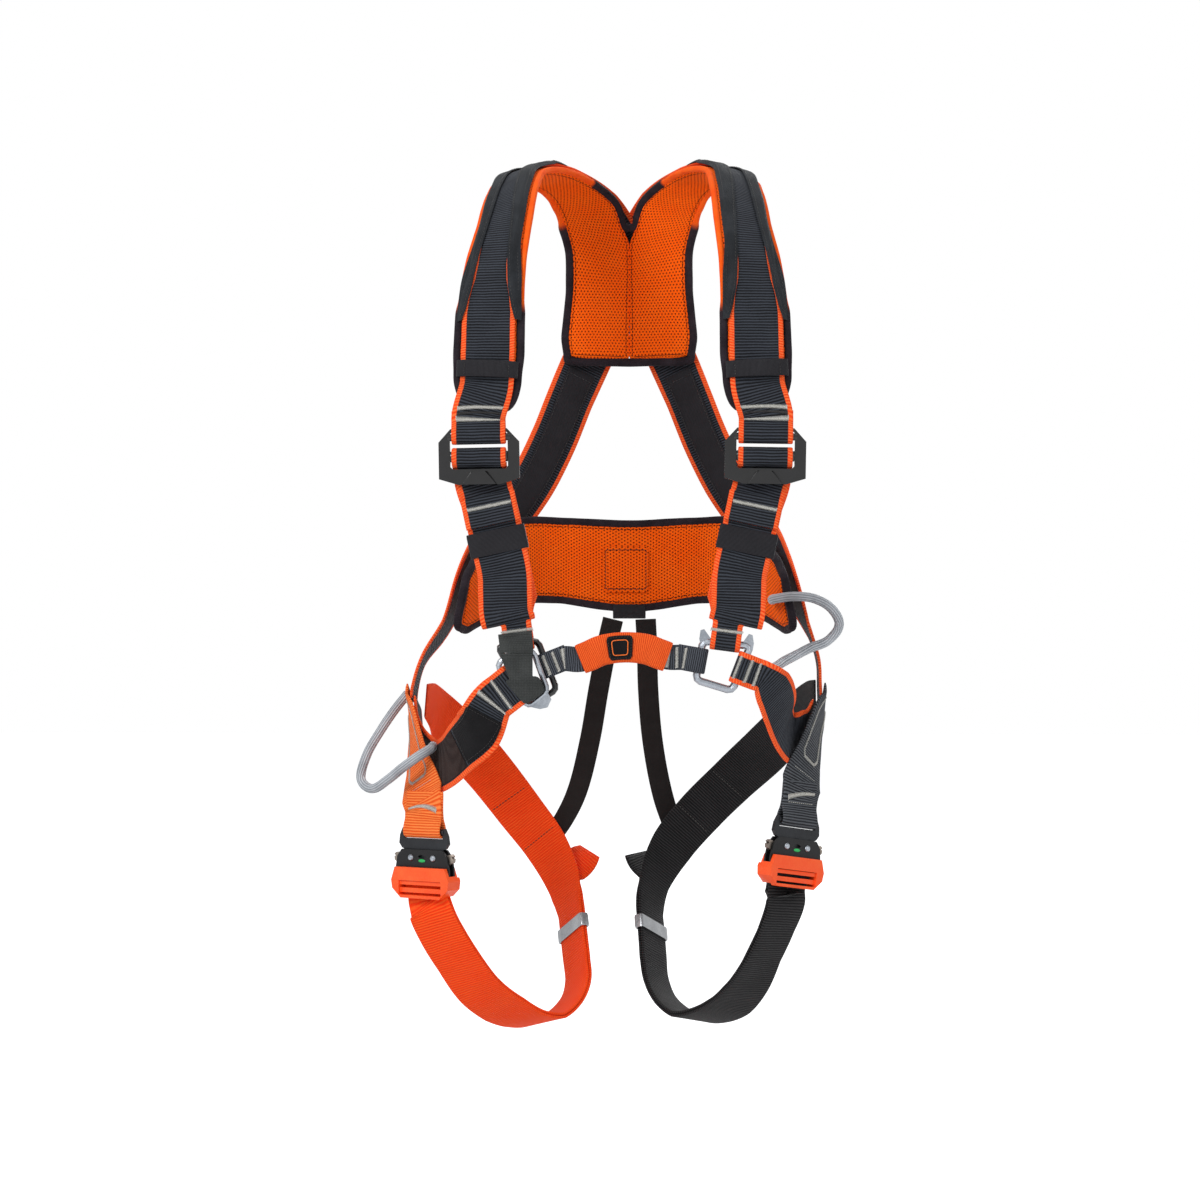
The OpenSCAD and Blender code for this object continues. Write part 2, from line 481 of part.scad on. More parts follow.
// ---- leg buckles: local origin on the line of the pivots, Z up along the web ----
buckle_l = [-168, -86, -580];
buckle_r = [144, -75, -571];
roll_l = -1;
roll_r = 9;
dlink_bar_z = 22;
dlink_slot = dlink_w / 2 - 5.7;
dlink_bar_d = 5;
wrap_z = -22;
wrap_y = 3.6;
wrap_d = 5;
module dlink_base() {
  x = dlink_w / 2;
  difference() {
    plate([[4 - x, 25], [x - 4, 25], [x - 1, 19], [x, 12], [x - 3, 8], [18, 5.6], [10, 4.4], [6.3, 3.6],
      [6.3, -7.9], [9, -7.9], [9, -11], [-9, -11], [-9, -7.9], [-6.3, -7.9], [-6.3, 3.6], [-10, 4.4],
      [-18, 5.6], [3 - x, 8], [-x, 12], [1 - x, 19]], -dlink_t / 2, dlink_t / 2);
    block(-dlink_slot, dlink_slot, -dlink_t, dlink_t, 16.2, 26);
  }
  rod([-dlink_slot - 1, 0, dlink_bar_z], [dlink_slot + 1, 0, dlink_bar_z], dlink_bar_d);
}
module buckle_body_base() {
  a = core_t / 2;
  for (s = [-1, 1]) {
    y0 = s > 0 ? a : -a - shell;
    difference() {
      plate([[-22, 7], [22, 7], [27, 1], [29, -10], [29, -15], [-29, -15], [-29, -10], [-27, 1]], y0,
        y0 + shell);
      translate([0, y0 + shell + 1, 1]) rotate([90, 0, 0]) scale([1.6, 0.6, 1]) cylinder(d = 5,
        h = shell + 2);
    }
  }
  block(-22, 22, -a - 0.1, a + 0.1, -15, -12.2);
  for (s = [-1, 1]) {
    translate([s * pivot_x, a + shell + 1, 0]) rotate([90, 0, 0]) cylinder(d = 4,
      h = core_t + 2 * shell + 2);
    translate([s * pivot_x, -a - shell, 0]) rotate([90, 0, 0]) cylinder(d1 = 6, d2 = 4.4, h = 1.2);
  }
}
lever_t = core_t - 2 * gap;
module lever_base() {
  difference() {
    plate([[-5, -5.6], [-2, -6.5], [4, -5], [14, -6], [19.5, -3], [20, 0], [18.4, 1], [20, 2.2], [17.6,
      4], [12, 2.4],
      [5, 2.4], [2.8, 3.3], [-2.8, 3.3], [-4.2, 1], [-5.2, -2.2]], -lever_t / 2, lever_t / 2);
    translate([0, 5, 0]) rotate([90, 0, 0]) cylinder(d = 4.16, h = 10);
  }
}
window = frame_w / 2 - 8.2;
module buckle_frame_base() {
  x = frame_w / 2;
  f = -core_t / 2 - shell - gap;
  difference() {
    plate([[4 - x, -8], [x - 4, -8], [x, -19], [x - 1, -26], [x - 10, -34], [10 - x, -34], [1 - x, -26],
      [-x, -19]],
      f - 3.6, 9);
    block(-window, window, f - 8, 12, -31.5, -19.2);
    block(-29.4, 29.4, f, -f, -19, 0);
    block(-window, window, -0.6, 12, -40, -15.5);
    block(-x - 1, x + 1, 2 - f, 12, -16, 0);
  }
  rod([-window - 2.2, wrap_y, wrap_z], [window + 2.2, wrap_y, wrap_z], wrap_d);
  block(-window - 2.2, window + 2.2, f - 1.6, f + 0.8, -23, -19.6);
  block(-window - 2.2, window + 2.2, f - 1.2, f + 1.2, -29.5, -25.5);
}

// ---- leg webs: front of the thigh, between the legs, up the back to the hip ----
leg_l = [[-163, -86, -622, -0.5, -0.86, 0], [-153, -83, -645, -0.48, -0.87, 0], [-139, -74, -670, -0.4,
  -0.88, -0.2],
  [-122, -58, -697, -0.2, -0.85, -0.45], [-104, -41, -714, 0, -0.7, -0.7], [-86, -23, -725, 0.1, -0.4,
    -0.9],
  [-69, -4, -728, 0.25, -0.1, -0.95], [-55, 16, -721, 0.55, 0.1, -0.8], [-47, 32, -709, 0.75, 0.35, -0.4],
  [-46, 46, -693, 0.8, 0.5, 0], [-48.5, 55, -676, 0.8, 0.5, 0], [-51, 64, -659, 0.8, 0.5, 0],
  [-53.5, 73, -642, 0.8, 0.5, 0], [-60, 85, -618, 0.65, 0.7, 0], [-76, 96, -588, 0.45, 0.9, 0],
  [-101, 100, -555, 0.1, 0.97, 0.2], [-124, 93, -524, -0.2, 0.9, 0.4], [-147, 68, -493, -0.6, 0.7, 0.4],
  [-165, 34, -468, -0.9, 0.3, 0.2], [-171, 6, -455, -1, 0.1, 0.05, 0.9], [-175, -12, -450, -1, 0, 0.05,
    0.66]];
leg_r = [[136, -76, -617, 0.72, -0.7, 0], [128, -73, -641, 0.75, -0.66, 0], [116, -65, -668, 0.7, -0.7,
  -0.15],
  [103, -50, -694, 0.45, -0.75, -0.4], [89, -33, -712, 0.2, -0.65, -0.7], [73, -16, -722, 0, -0.4, -0.9],
  [56, 1, -726, -0.2, -0.1, -0.97], [41, 19, -720, -0.5, 0.1, -0.8], [30, 35, -708, -0.8, 0.35, -0.4],
  [25, 47, -692, -0.86, 0.5, 0], [23.5, 56, -675, -0.86, 0.5, 0], [22, 65, -658, -0.86, 0.5, 0],
  [20.5, 74, -641, -0.86, 0.5, 0], [24, 87, -617, -0.8, 0.6, 0], [39, 99, -588, -0.5, 0.85, 0],
  [66, 106, -556, -0.15, 0.96, 0.2], [95, 101, -527, 0.1, 0.9, 0.4], [124, 78, -498, 0.5, 0.75, 0.4],
  [149, 38, -468, 0.9, 0.3, 0.2], [158.5, 8, -454, 1, 0.1, 0, 0.92], [164.9, -15, -449, 1, 0, 0, 0.8]];
tail_end = 13;
tip_l = [-36, 94, -592, 0.9, 0.4, 0.2];
tip_r = [6, 96, -594, -0.9, 0.4, 0.2];
function outer_tail(R, tip) = concat([tip], back(lifted(part(R, 0, tail_end), layer + 0.1)));
function wrap(o, yaw, roll) = seat(narrow(eye([0, wrap_y, wrap_z], unit([0, 0.06, -1]), [0, -1, 0],
  wrap_d / 2 + gap + web_t / 2, 14, 14, half), 0.94), o, yaw, roll);
module leg_web_base(R, tip, o, yaw, roll) {
  web(dense(concat(outer_tail(R, tip), wrap(o, yaw, roll), R)), web_w, web_t);
}
module leg_keeper_base(R, i) {
  t = unit(pos(R[i + 1]) - pos(R[i - 1]));
  u = unit(cross(dir(R[i]), t));
  n = unit(cross(t, u));
  h = 2 * web_t + gap + 0.1;
  translate(pos(R[i]) + n * (layer + 0.1) / 2) multmatrix([[u[0], n[0], t[0], 0], [u[1], n[1], t[1], 0],
    [u[2], n[2], t[2], 0], [0, 0, 0, 1]]) difference() {
    block(-web_w / 2 - 2.2, web_w / 2 + 2.2, -h / 2 - 1.7, h / 2 + 1.7, -6, 6);
    block(-web_w / 2 - 0.9, web_w / 2 + 0.9, -h / 2 - 0.7, h / 2 + 0.7, -7, 7);
  }
}
// Stubs from the hips down to the buckle links
stub_l = [[-187, -33, -441, -1, 0, 0.05], [-187.2, -37, -452, -1, 0, 0], [-182.5, -50, -471, -1, -0.2,
  0.05], [-176.8, -65.4, -502, -0.88, -0.47, 0.12],
  [-171.3, -79, -526, -0.62, -0.76, 0.35]];
stub_r = [[171.8, -26, -440, 1, 0, 0], [171.8, -30, -451, 1, 0, 0], [165.5, -42, -468, 1, -0.2, 0.05],
  [157.2, -56, -497, 0.88, -0.47, 0.08],
  [150.9, -66.5, -518, 0.68, -0.7, 0.22]];
function stub_eye(o, yaw, roll) = seat(narrow(eye([0, 0, dlink_bar_z], [0, 0, 1], [0, -1, 0],
  dlink_bar_d / 2 + gap + web_t / 2, 20, 34, half), 0.88), o, yaw, roll);
module leg_stub_base(R, o, yaw, roll) { web(dense(concat(R, stub_eye(o, yaw, roll))), web_w, web_t); }

// ---- dorsal plate and ring ----
plate_y = 116.5;
plate_t = 3.5;
ring_y = plate_y + plate_t + 10.6;
ring_z = -50;
lug_x = 31.5;
module dorsal_plate_base() {
  difference() {
    union() {
      plate([[-30, -30], [30, -30], [38, -39], [38, -68], [30, -80], [-30, -80], [-38, -68], [-38, -39]],
        plate_y, plate_y + plate_t);
      for (s = [-1, 1]) {
        block(s * lug_x - 2, s * lug_x + 2, plate_y + 1, ring_y, ring_z - 6.5, ring_z + 6.5);
        translate([s * lug_x - 2, ring_y, ring_z]) rotate([0, 90, 0]) cylinder(d = 13, h = 4);
      }
    }
    translate([-45, ring_y, ring_z]) rotate([0, 90, 0]) cylinder(d = ring_d + 0.16, h = 90);
  }
}
module dorsal_ring_base() {
  translate([0, ring_y, ring_z]) rotate([ring_lean, 0, 0]) {
    rod([-ring_x, 0, 0], [ring_x, 0, 0], ring_d);
    for (s = [-1, 1]) {
      knob([s * ring_x, 0, 0], ring_d);
      rod([s * ring_x, 0, 0], [s * ring_x, 0, -ring_drop], ring_d);
    }
    translate([0, 0, -ring_drop]) rotate([90, 0, 0]) rotate([0, 0, 180])
      rotate_extrude(angle = 180) translate([ring_x, 0, 0]) circle(d = ring_d);
  }
}

// ---- gear loops ----
gear_l = [[-194, -15, -441], [-202, -18, -456], [-213, -22, -475], [-225, -32, -498], [-228, -42, -517],
  [-217, -56, -524], [-201, -72, -515], [-187, -86, -504], [-173, -93, -494], [-163.4, -86.2, -488],
    [-161.8, -78.2, -486]];
gear_r = [[127.4, -20, -362], [129, -42, -361], [146, -54, -359], [163, -48, -361], [178, -44, -370],
  [184, -44, -383],
  [175, -48, -396], [158, -60, -403], [144, -77, -409.5], [134, -95, -414], [127, -110.5, -418], [122.7,
    -119.4, -419.4]];
module gear_base(P, ref) { cord(dense([for (p = P) concat(p, [0, 0, 0])]), loop_d, ref, 8); }

yoke_pad_left();
yoke_pad_right();
yoke_binding_left();
shoulder_cover_left();
shoulder_keeper_left();
yoke_binding_right();
shoulder_cover_right();
shoulder_keeper_right();
shoulder_web_left();
shoulder_web_right();
back_band_right();
back_band_left();
dorsal_plate();
dorsal_ring();
belt_pad();
belt_binding();
belt_patch();
belt_tab();
adjuster_left();
adjuster_bar_left();
chest_strap_left();
chest_tail_left();
chest_keeper_left();
adjuster_right();
adjuster_bar_right();
chest_strap_right();
chest_tail_right();
chest_keeper_right();
link_ring_left();
link_hook_left();
link_ring_right();
link_flap();
flap_head();
bridge_web();
bridge_sleeve();
bridge_patch();
waist_strap_left();
waist_strap_right();
waist_label();
riser_left();
riser_right();
leg_web_left();
leg_web_right();
leg_keeper_left();
leg_keeper_right();
leg_stub_left();
leg_stub_right();
dlink_left();
buckle_body_left();
buckle_frame_left();
lever_left_outer();
lever_left_inner();
dlink_right();
buckle_body_right();
buckle_frame_right();
lever_right_outer();
lever_right_inner();
gear_loop_left();
gear_loop_right();

module yoke_pad_left() { color(c_mesh) yoke_pad_base(); }
module yoke_pad_right() { color(c_mesh) flip() yoke_pad_base(); }
module yoke_binding_left() { color(c_bind) yoke_binding_base(); }
module shoulder_cover_left() { color(c_black) cover_base(); }
module shoulder_keeper_left() { color(c_black) shoulder_keeper_base(); }
module yoke_binding_right() { color(c_bind) flip() yoke_binding_base(); }
module shoulder_cover_right() { color(c_black) flip() cover_base(); }
module shoulder_keeper_right() { color(c_black) flip() shoulder_keeper_base(); }
module shoulder_web_left() { color(c_web) web(shoulder_route(hip_right, 0), web_w, web_t); }
module shoulder_web_right() { color(c_web) flip() web(shoulder_route(hip_left, layer), web_w, web_t); }
module back_band_right() { color(c_black) web(band_rows(shoulder_route(hip_right, 0)), band_w, 1.6); }
module back_band_left() { color(c_black) flip() web(band_rows(shoulder_route(hip_left, layer)), band_w,
  1.6); }
module dorsal_plate() { color(c_black) dorsal_plate_base(); }
module dorsal_ring() { color(c_silver) dorsal_ring_base(); }
module belt_pad() { color(c_mesh) belt_pad_base(); }
module belt_binding() { color(c_bind) belt_binding_base(); }
module belt_patch() { color(c_mesh) belt_patch_base(); }
module belt_tab() { color(c_black) belt_tab_base(); }
module adjuster_left() { color(c_black) at(adj_o, 0, adj_roll) adjuster_base(); }
module adjuster_bar_left() { color(c_black) at(adj_o, 0, adj_roll) adjuster_bar_base(); }
module chest_strap_left() { color(c_web) chest_strap_base(); }
module chest_tail_left() { color(c_web) chest_tail_base(); }
module chest_keeper_left() { color(c_black) chest_keeper_base(); }
module adjuster_right() { color(c_black) flip() at(adj_o, 0, adj_roll) adjuster_base(); }
module adjuster_bar_right() { color(c_black) flip() at(adj_o, 0, adj_roll) adjuster_bar_base(); }
module chest_strap_right() { color(c_web) flip() chest_strap_base(); }
module chest_tail_right() { color(c_web) flip() chest_tail_base(); }
module chest_keeper_right() { color(c_black) flip() chest_keeper_base(); }
module link_ring_left() { color(c_black) link_ring_left_base(); }
module link_hook_left() { color(c_silver) link_hook_left_base(); }
module link_ring_right() { color(c_silver) link_ring_right_base(); }
module link_flap() { color(c_black) link_flap_base(); }
module flap_head() { color(c_black) flap_head_base(); }
module bridge_web() { color(c_web) bridge_web_base(); }
module bridge_sleeve() { color(c_orange) bridge_sleeve_base(); }
module bridge_patch() { color(c_black) bridge_patch_base(); }
module waist_strap_left() { color(c_web) web(waist_left, web_w, web_t); }
module waist_strap_right() { color(c_web) web(dense(waist_right_rows), web_w, web_t); }
module waist_label() { color(c_black) waist_label_base(); }
module riser_left() { color(c_black) web(dense(riser_left_rows), riser_w, 2); }
module riser_right() { color(c_black) web(dense(riser_right_rows), riser_w, 2); }
module leg_web_left() { color(c_orange) leg_web_base(leg_l, tip_l, buckle_l, -turn_left, roll_l); }
module leg_web_right() { color(c_web) leg_web_base(leg_r, tip_r, buckle_r, turn_right, roll_r); }
module leg_keeper_left() { color(c_silver) leg_keeper_base(leg_l, 11); }
module leg_keeper_right() { color(c_silver) leg_keeper_base(leg_r, 11); }
module leg_stub_left() { color(c_orange) leg_stub_base(stub_l, buckle_l, -turn_left, roll_l); }
module leg_stub_right() { color(c_web) leg_stub_base(stub_r, buckle_r, turn_right, roll_r); }
module dlink_left() { color(c_black) at(buckle_l, -turn_left, roll_l) dlink_base(); }
module buckle_body_left() { color(c_black) at(buckle_l, -turn_left, roll_l) buckle_body_base(); }
module buckle_frame_left() { color(c_orange) at(buckle_l, -turn_left, roll_l) buckle_frame_base(); }
module lever_left_outer() { color(c_silver) at(buckle_l, -turn_left, roll_l) flip() translate([pivot_x,
  0, 0]) lever_base(); }
module lever_left_inner() { color(c_silver) at(buckle_l, -turn_left, roll_l) translate([pivot_x, 0,
  0]) lever_base(); }
module dlink_right() { color(c_black) at(buckle_r, turn_right, roll_r) dlink_base(); }
module buckle_body_right() { color(c_black) at(buckle_r, turn_right, roll_r) buckle_body_base(); }
module buckle_frame_right() { color(c_orange) at(buckle_r, turn_right, roll_r) buckle_frame_base(); }
module lever_right_outer() { color(c_silver) at(buckle_r, turn_right, roll_r) translate([pivot_x, 0,
  0]) lever_base(); }
module lever_right_inner() { color(c_silver) at(buckle_r, turn_right, roll_r) flip() translate([pivot_x,
  0, 0]) lever_base(); }
module gear_loop_left() { color(c_tube) gear_base(gear_l, [0.3, 1, 0.2]); }
module gear_loop_right() { color(c_tube) gear_base(gear_r, [0.2, 1, 0.9]); }
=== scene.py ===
import json
import math

import bmesh
import bpy
import numpy as np
from mathutils import Matrix, Vector


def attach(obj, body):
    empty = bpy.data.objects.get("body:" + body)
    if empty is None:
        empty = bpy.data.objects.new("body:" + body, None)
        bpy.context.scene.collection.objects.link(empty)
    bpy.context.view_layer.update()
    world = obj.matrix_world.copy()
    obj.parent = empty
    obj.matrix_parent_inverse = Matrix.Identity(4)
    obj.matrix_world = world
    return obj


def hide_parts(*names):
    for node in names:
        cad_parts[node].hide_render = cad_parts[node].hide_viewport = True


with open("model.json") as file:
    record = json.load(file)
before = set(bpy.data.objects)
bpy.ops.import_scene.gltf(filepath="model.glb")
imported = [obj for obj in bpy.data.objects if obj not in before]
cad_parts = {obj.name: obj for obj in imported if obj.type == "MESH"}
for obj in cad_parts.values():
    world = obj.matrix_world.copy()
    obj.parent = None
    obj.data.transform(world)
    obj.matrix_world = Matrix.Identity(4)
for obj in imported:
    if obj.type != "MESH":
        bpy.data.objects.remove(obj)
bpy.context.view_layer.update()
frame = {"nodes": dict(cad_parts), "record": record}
MM = 0.001
ROOT = list(frame["record"]["behaviour"]["bodies"])[0]

# ---- camera, floor, backdrop and light ----
scene = bpy.context.scene
scene.view_settings.view_transform = "Standard"
cam = bpy.data.objects.new("camera", bpy.data.cameras.new("camera"))
scene.collection.objects.link(cam)
cam.data.lens, cam.data.sensor_width = 75.18, 36
cam.location = (0.0615, -2.1993, -0.362)
cam.rotation_euler = (math.radians(90), 0, math.radians(2.2))
scene.camera = cam


def lamp(name, place, aim, power, size):
    data = bpy.data.lights.new(name, "AREA")
    data.energy, data.size = power, size
    o = bpy.data.objects.new(name, data)
    o.location = place
    o.rotation_euler = (Vector(aim) - Vector(place)).to_track_quat("-Z", "Y").to_euler()
    scene.collection.objects.link(o)


lamp("key", (-1.3, -1.9, 0.9), (0, 0, -0.35), 34, 0.9)
lamp("fill", (1.7, -1.6, 0.2), (0, 0, -0.4), 10, 1.4)
lamp("top", (0.1, 0.3, 1.6), (0, 0, -0.3), 9, 1.2)
lamp("behind", (0.9, 2.1, 0.6), (0, 0, -0.35), 16, 1.2)

world = bpy.data.worlds.new("world")
scene.world = world
world.use_nodes = True
wt = world.node_tree
wt.nodes.clear()
w_out = wt.nodes.new("ShaderNodeOutputWorld")
w_seen, w_lit = wt.nodes.new("ShaderNodeBackground"), wt.nodes.new("ShaderNodeBackground")
w_seen.inputs[0].default_value, w_seen.inputs[1].default_value = (1, 1, 1, 1), 1
w_lit.inputs[0].default_value, w_lit.inputs[1].default_value = (0.95, 0.97, 1, 1), 0.5
w_mix, w_path = wt.nodes.new("ShaderNodeMixShader"), wt.nodes.new("ShaderNodeLightPath")
w_any, w_any2 = wt.nodes.new("ShaderNodeMath"), wt.nodes.new("ShaderNodeMath")
w_any.operation = w_any2.operation = "MAXIMUM"
wt.links.new(w_path.outputs["Is Camera Ray"], w_any.inputs[0])
wt.links.new(w_path.outputs["Is Glossy Ray"], w_any.inputs[1])
wt.links.new(w_any.outputs[0], w_any2.inputs[0])
wt.links.new(w_path.outputs["Is Transmission Ray"], w_any2.inputs[1])
wt.links.new(w_any2.outputs[0], w_mix.inputs[0])
wt.links.new(w_lit.outputs[0], w_mix.inputs[1])
wt.links.new(w_seen.outputs[0], w_mix.inputs[2])
wt.links.new(w_mix.outputs[0], w_out.inputs[0])


# ---- materials ----
def C(r, g, b):
    """A colour as it shows on screen, 0 to 255, as the shader wants it."""
    shown = (r / 255, g / 255, b / 255)
    return tuple(c / 12.92 if c <= 0.04045 else ((c + 0.055) / 1.055) ** 2.4 for c in shown) + (1,)


class Mat:
    """A material under construction, with short names for the nodes it needs."""

    def __init__(self, name):
        self.m = bpy.data.materials.new(name)
        self.m.use_nodes = True
        self.t = self.m.node_tree
        self.t.nodes.clear()
        out = self.t.nodes.new("ShaderNodeOutputMaterial")
        self.b = self.t.nodes.new("ShaderNodeBsdfPrincipled")
        self.t.links.new(self.b.outputs[0], out.inputs[0])

    def put(self, sock, v):
        if isinstance(v, bpy.types.NodeSocket):
            self.t.links.new(v, sock)
        else:
            sock.default_value = v

    def f(self, op, a, b=0.0, c=0.0):
        n = self.t.nodes.new("ShaderNodeMath")
        n.operation = op
        for k, v in enumerate((a, b, c)[: len(n.inputs)]):
            self.put(n.inputs[k], v)
        return n.outputs[0]

    def total(self, *terms, shift=0.0):
        """The sum of (value, weight) pairs and shift."""
        for v, k in terms:
            shift = self.f("MULTIPLY_ADD", v, k, shift)
        return shift

    def split(self, vec):
        s = self.t.nodes.new("ShaderNodeSeparateXYZ")
        self.t.links.new(vec, s.inputs[0])
        return s.outputs

    def uv(self):
        n = self.t.nodes.new("ShaderNodeUVMap")
        n.uv_map = "UVMap"
        s = self.split(n.outputs[0])
        return n.outputs[0], s[0], s[1]

    def attr(self, name):
        n = self.t.nodes.new("ShaderNodeAttribute")
        n.attribute_name = name
        return n.outputs["Fac"]

    def place(self):
        return self.t.nodes.new("ShaderNodeTexCoord").outputs["Object"]

    def noise(self, vec, scale, detail=3.0, rough=0.55):
        n = self.t.nodes.new("ShaderNodeTexNoise")
        self.put(n.inputs["Vector"], vec)
        n.inputs["Scale"].default_value, n.inputs["Detail"].default_value = scale, detail
        n.inputs["Roughness"].default_value = rough
        return n.outputs["Fac"]

    def stretch(self, vec, x, y, z):
        n = self.t.nodes.new("ShaderNodeMapping")
        self.put(n.inputs["Vector"], vec)
        n.inputs["Scale"].default_value = (x, y, z)
        return n.outputs[0]

    def mix(self, k, a, b):
        n = self.t.nodes.new("ShaderNodeMix")
        n.data_type = "RGBA"
        self.put(n.inputs[0], k)
        self.put(n.inputs[6], a)
        self.put(n.inputs[7], b)
        return n.outputs[2]

    def step(self, v, lo, hi):
        """0 below lo, 1 above hi, smooth between."""
        n = self.t.nodes.new("ShaderNodeMapRange")
        n.interpolation_type = "SMOOTHSTEP"
        self.put(n.inputs[0], v)
        n.inputs[1].default_value, n.inputs[2].default_value = lo, hi
        return n.outputs[0]

    def wave(self, v, pitch):
        """0 to 1 and back over each pitch."""
        return self.f("MULTIPLY_ADD", self.f("SINE", self.f("MULTIPLY", v, 2 * math.pi / pitch)), 0.5, 0.5)

    def bump(self, h, depth):
        n = self.t.nodes.new("ShaderNodeBump")
        n.inputs["Strength"].default_value, n.inputs["Distance"].default_value = 1.0, depth
        self.put(n.inputs["Height"], h)
        self.put(self.b.inputs["Normal"], n.outputs[0])

    def look(self, colour, rough, metal=0.0, spec=0.5, sheen=0.0, coat=0.0):
        self.put(self.b.inputs["Base Color"], colour)
        self.put(self.b.inputs["Roughness"], rough)
        self.b.inputs["Metallic"].default_value = metal
        self.b.inputs["Specular IOR Level"].default_value = spec
        self.b.inputs["Sheen Weight"].default_value = sheen
        self.b.inputs["Sheen Roughness"].default_value = 0.4
        self.b.inputs["Coat Weight"].default_value = coat
        self.b.inputs["Coat Roughness"].default_value = 0.12
        return self.m


ORANGE_HI, ORANGE_LO = C(255, 116, 60), C(244, 66, 14)
SELVEDGE = 4.2  # width of the coloured edge of a web
WARP_PITCH = 0.95
HOLE_PITCH, HOLE_ROW = 3.1, 2.7
RIM_SEAM = 3.2  # distance of the stitched line from the rim of the mesh


def webbing(name, hi, lo, edge_hi=None, edge_lo=None, pitch=2.4, rough=0.7, depth=0.0005):
    """Ribbed webbing. UV runs across and along the web in metres, rim is the distance to the nearer edge in mm."""
    m = Mat(name)
    uv, x, s = m.uv()
    wobble = m.noise(m.stretch(uv, 40, 40, 1), 1.0, 2.0)
    rib = m.f("POWER", m.wave(m.f("MULTIPLY_ADD", wobble, 0.0016, s), pitch * MM), 0.7)
    warp = m.wave(x, WARP_PITCH * MM)
    thread = m.noise(m.stretch(uv, 900, 420, 1), 1.0, 3.0, 0.7)
    patch = m.noise(m.stretch(uv, 30, 60, 1), 1.0, 3.0)
    # tone: the crests of rib and warp are painted lighter and the grooves darker, painted highlight and shade on the
    # weave; patch adds blotches of brightness standing for uneven sheen, painted sheen; thread is random grain of the
    # yarn
    tone = m.total((rib, 0.68), (thread, 0.34), (warp, 0.08), (patch, 0.36), shift=-0.26)
    body = m.mix(m.step(tone, 0.15, 0.95), lo, hi)
    height = m.total((warp, 0.14), (thread, 0.3), (rib, 1.0))
    if edge_hi:
        rim = m.attr("rim")
        far = m.step(m.f("MULTIPLY_ADD", thread, 0.5, rim), SELVEDGE, SELVEDGE + 0.5)
        # the nubs of the coloured edge are painted lighter on their crests and darker between them: painted highlight
        # and shade
        nub = m.wave(m.f("MULTIPLY_ADD", x, 0.25, s), pitch * 0.92 * MM)
        side = m.mix(m.step(m.total((thread, 0.5), (nub, 0.7)), 0.2, 0.95), edge_lo, edge_hi)
        body = m.mix(far, side, body)
        groove = m.step(m.f("ABSOLUTE", m.f("SUBTRACT", rim, SELVEDGE + 0.2)), 0.0, 0.6)
        height = m.f("MULTIPLY", height, m.f("MULTIPLY_ADD", groove, 0.8, 0.2))
    m.bump(height, depth)
    return m.look(body, rough, spec=0.12, sheen=0.02)


def fabric(name, hi, lo, pitch=0.7, rough=0.75, depth=0.00025, crease=0.0):
    """Plain close weave by place, for covers, tapes and patches."""
    m = Mat(name)
    p = m.place()
    x, y, z = m.split(p)
    weave = m.f("MULTIPLY", m.wave(m.f("MULTIPLY_ADD", y, 0.8, x), pitch * MM),
                m.wave(m.f("MULTIPLY_ADD", y, -0.6, z), pitch * MM))
    fine = m.noise(p, 1700, 2.0)
    broad = m.noise(p, 55, 4.0)
    m.bump(m.total((weave, 0.7), (fine, 0.5), (broad, crease)), depth)
    tone = m.total((weave, 0.35), (fine, 0.4), (broad, 0.8), shift=-0.2)
    return m.look(m.mix(m.step(tone, 0.2, 1.0), lo, hi), rough, spec=0.12, sheen=0.05)


def holed(name, hi, lo, hole_shade):
    """Spacer mesh with staggered rows of small holes, its rim stitched."""
    m = Mat(name)
    uv, x, s = m.uv()
    wobble = m.f("MULTIPLY_ADD", m.noise(m.stretch(uv, 25, 25, 1), 1.0, 2.0), 0.002, -0.001)
    v = m.f("DIVIDE", m.f("ADD", s, wobble), HOLE_ROW * MM)
    shift = m.f("MULTIPLY", m.f("MODULO", m.f("FLOOR", v), 2.0), 0.5)
    u = m.f("ADD", m.f("DIVIDE", m.f("ADD", x, wobble), HOLE_PITCH * MM), shift)
    du = m.f("MULTIPLY", m.f("SUBTRACT", m.f("FRACT", u), 0.5), HOLE_PITCH)
    dv = m.f("MULTIPLY", m.f("SUBTRACT", m.f("FRACT", v), 0.5), HOLE_ROW)
    far = m.f("SQRT", m.f("ADD", m.f("MULTIPLY", du, du), m.f("MULTIPLY", m.f("MULTIPLY", dv, dv), 0.8)))
    solid = m.step(far, 0.42, 0.8)
    fine = m.noise(m.stretch(uv, 1300, 1300, 1), 1.0, 3.0, 0.7)
    broad = m.noise(m.stretch(uv, 30, 30, 1), 1.0, 3.0)
    body = m.mix(m.step(m.total((fine, 0.55), (broad, 0.5)), 0.25, 0.8), lo, hi)
    dash = m.step(m.f("FRACT", m.f("DIVIDE", s, 3.4 * MM)), 0.3, 0.36)
    off_seam = m.f("ABSOLUTE", m.f("SUBTRACT", m.attr("rim"), RIM_SEAM))
    seam = m.f("SUBTRACT", 1.0, m.step(off_seam, 0.25, 0.5))
    # inside the holes the mesh is painted a darker colour, painted shade in the holes; the dashes of the stitched
    # seam are thread colour
    body = m.mix(m.f("MULTIPLY", dash, seam), m.mix(solid, hole_shade, body), C(70, 26, 14))
    m.bump(m.total((fine, 0.35), (solid, 1.0), (seam, -0.8)), 0.0005)
    return m.look(body, 0.85, spec=0.08, sheen=0.02)


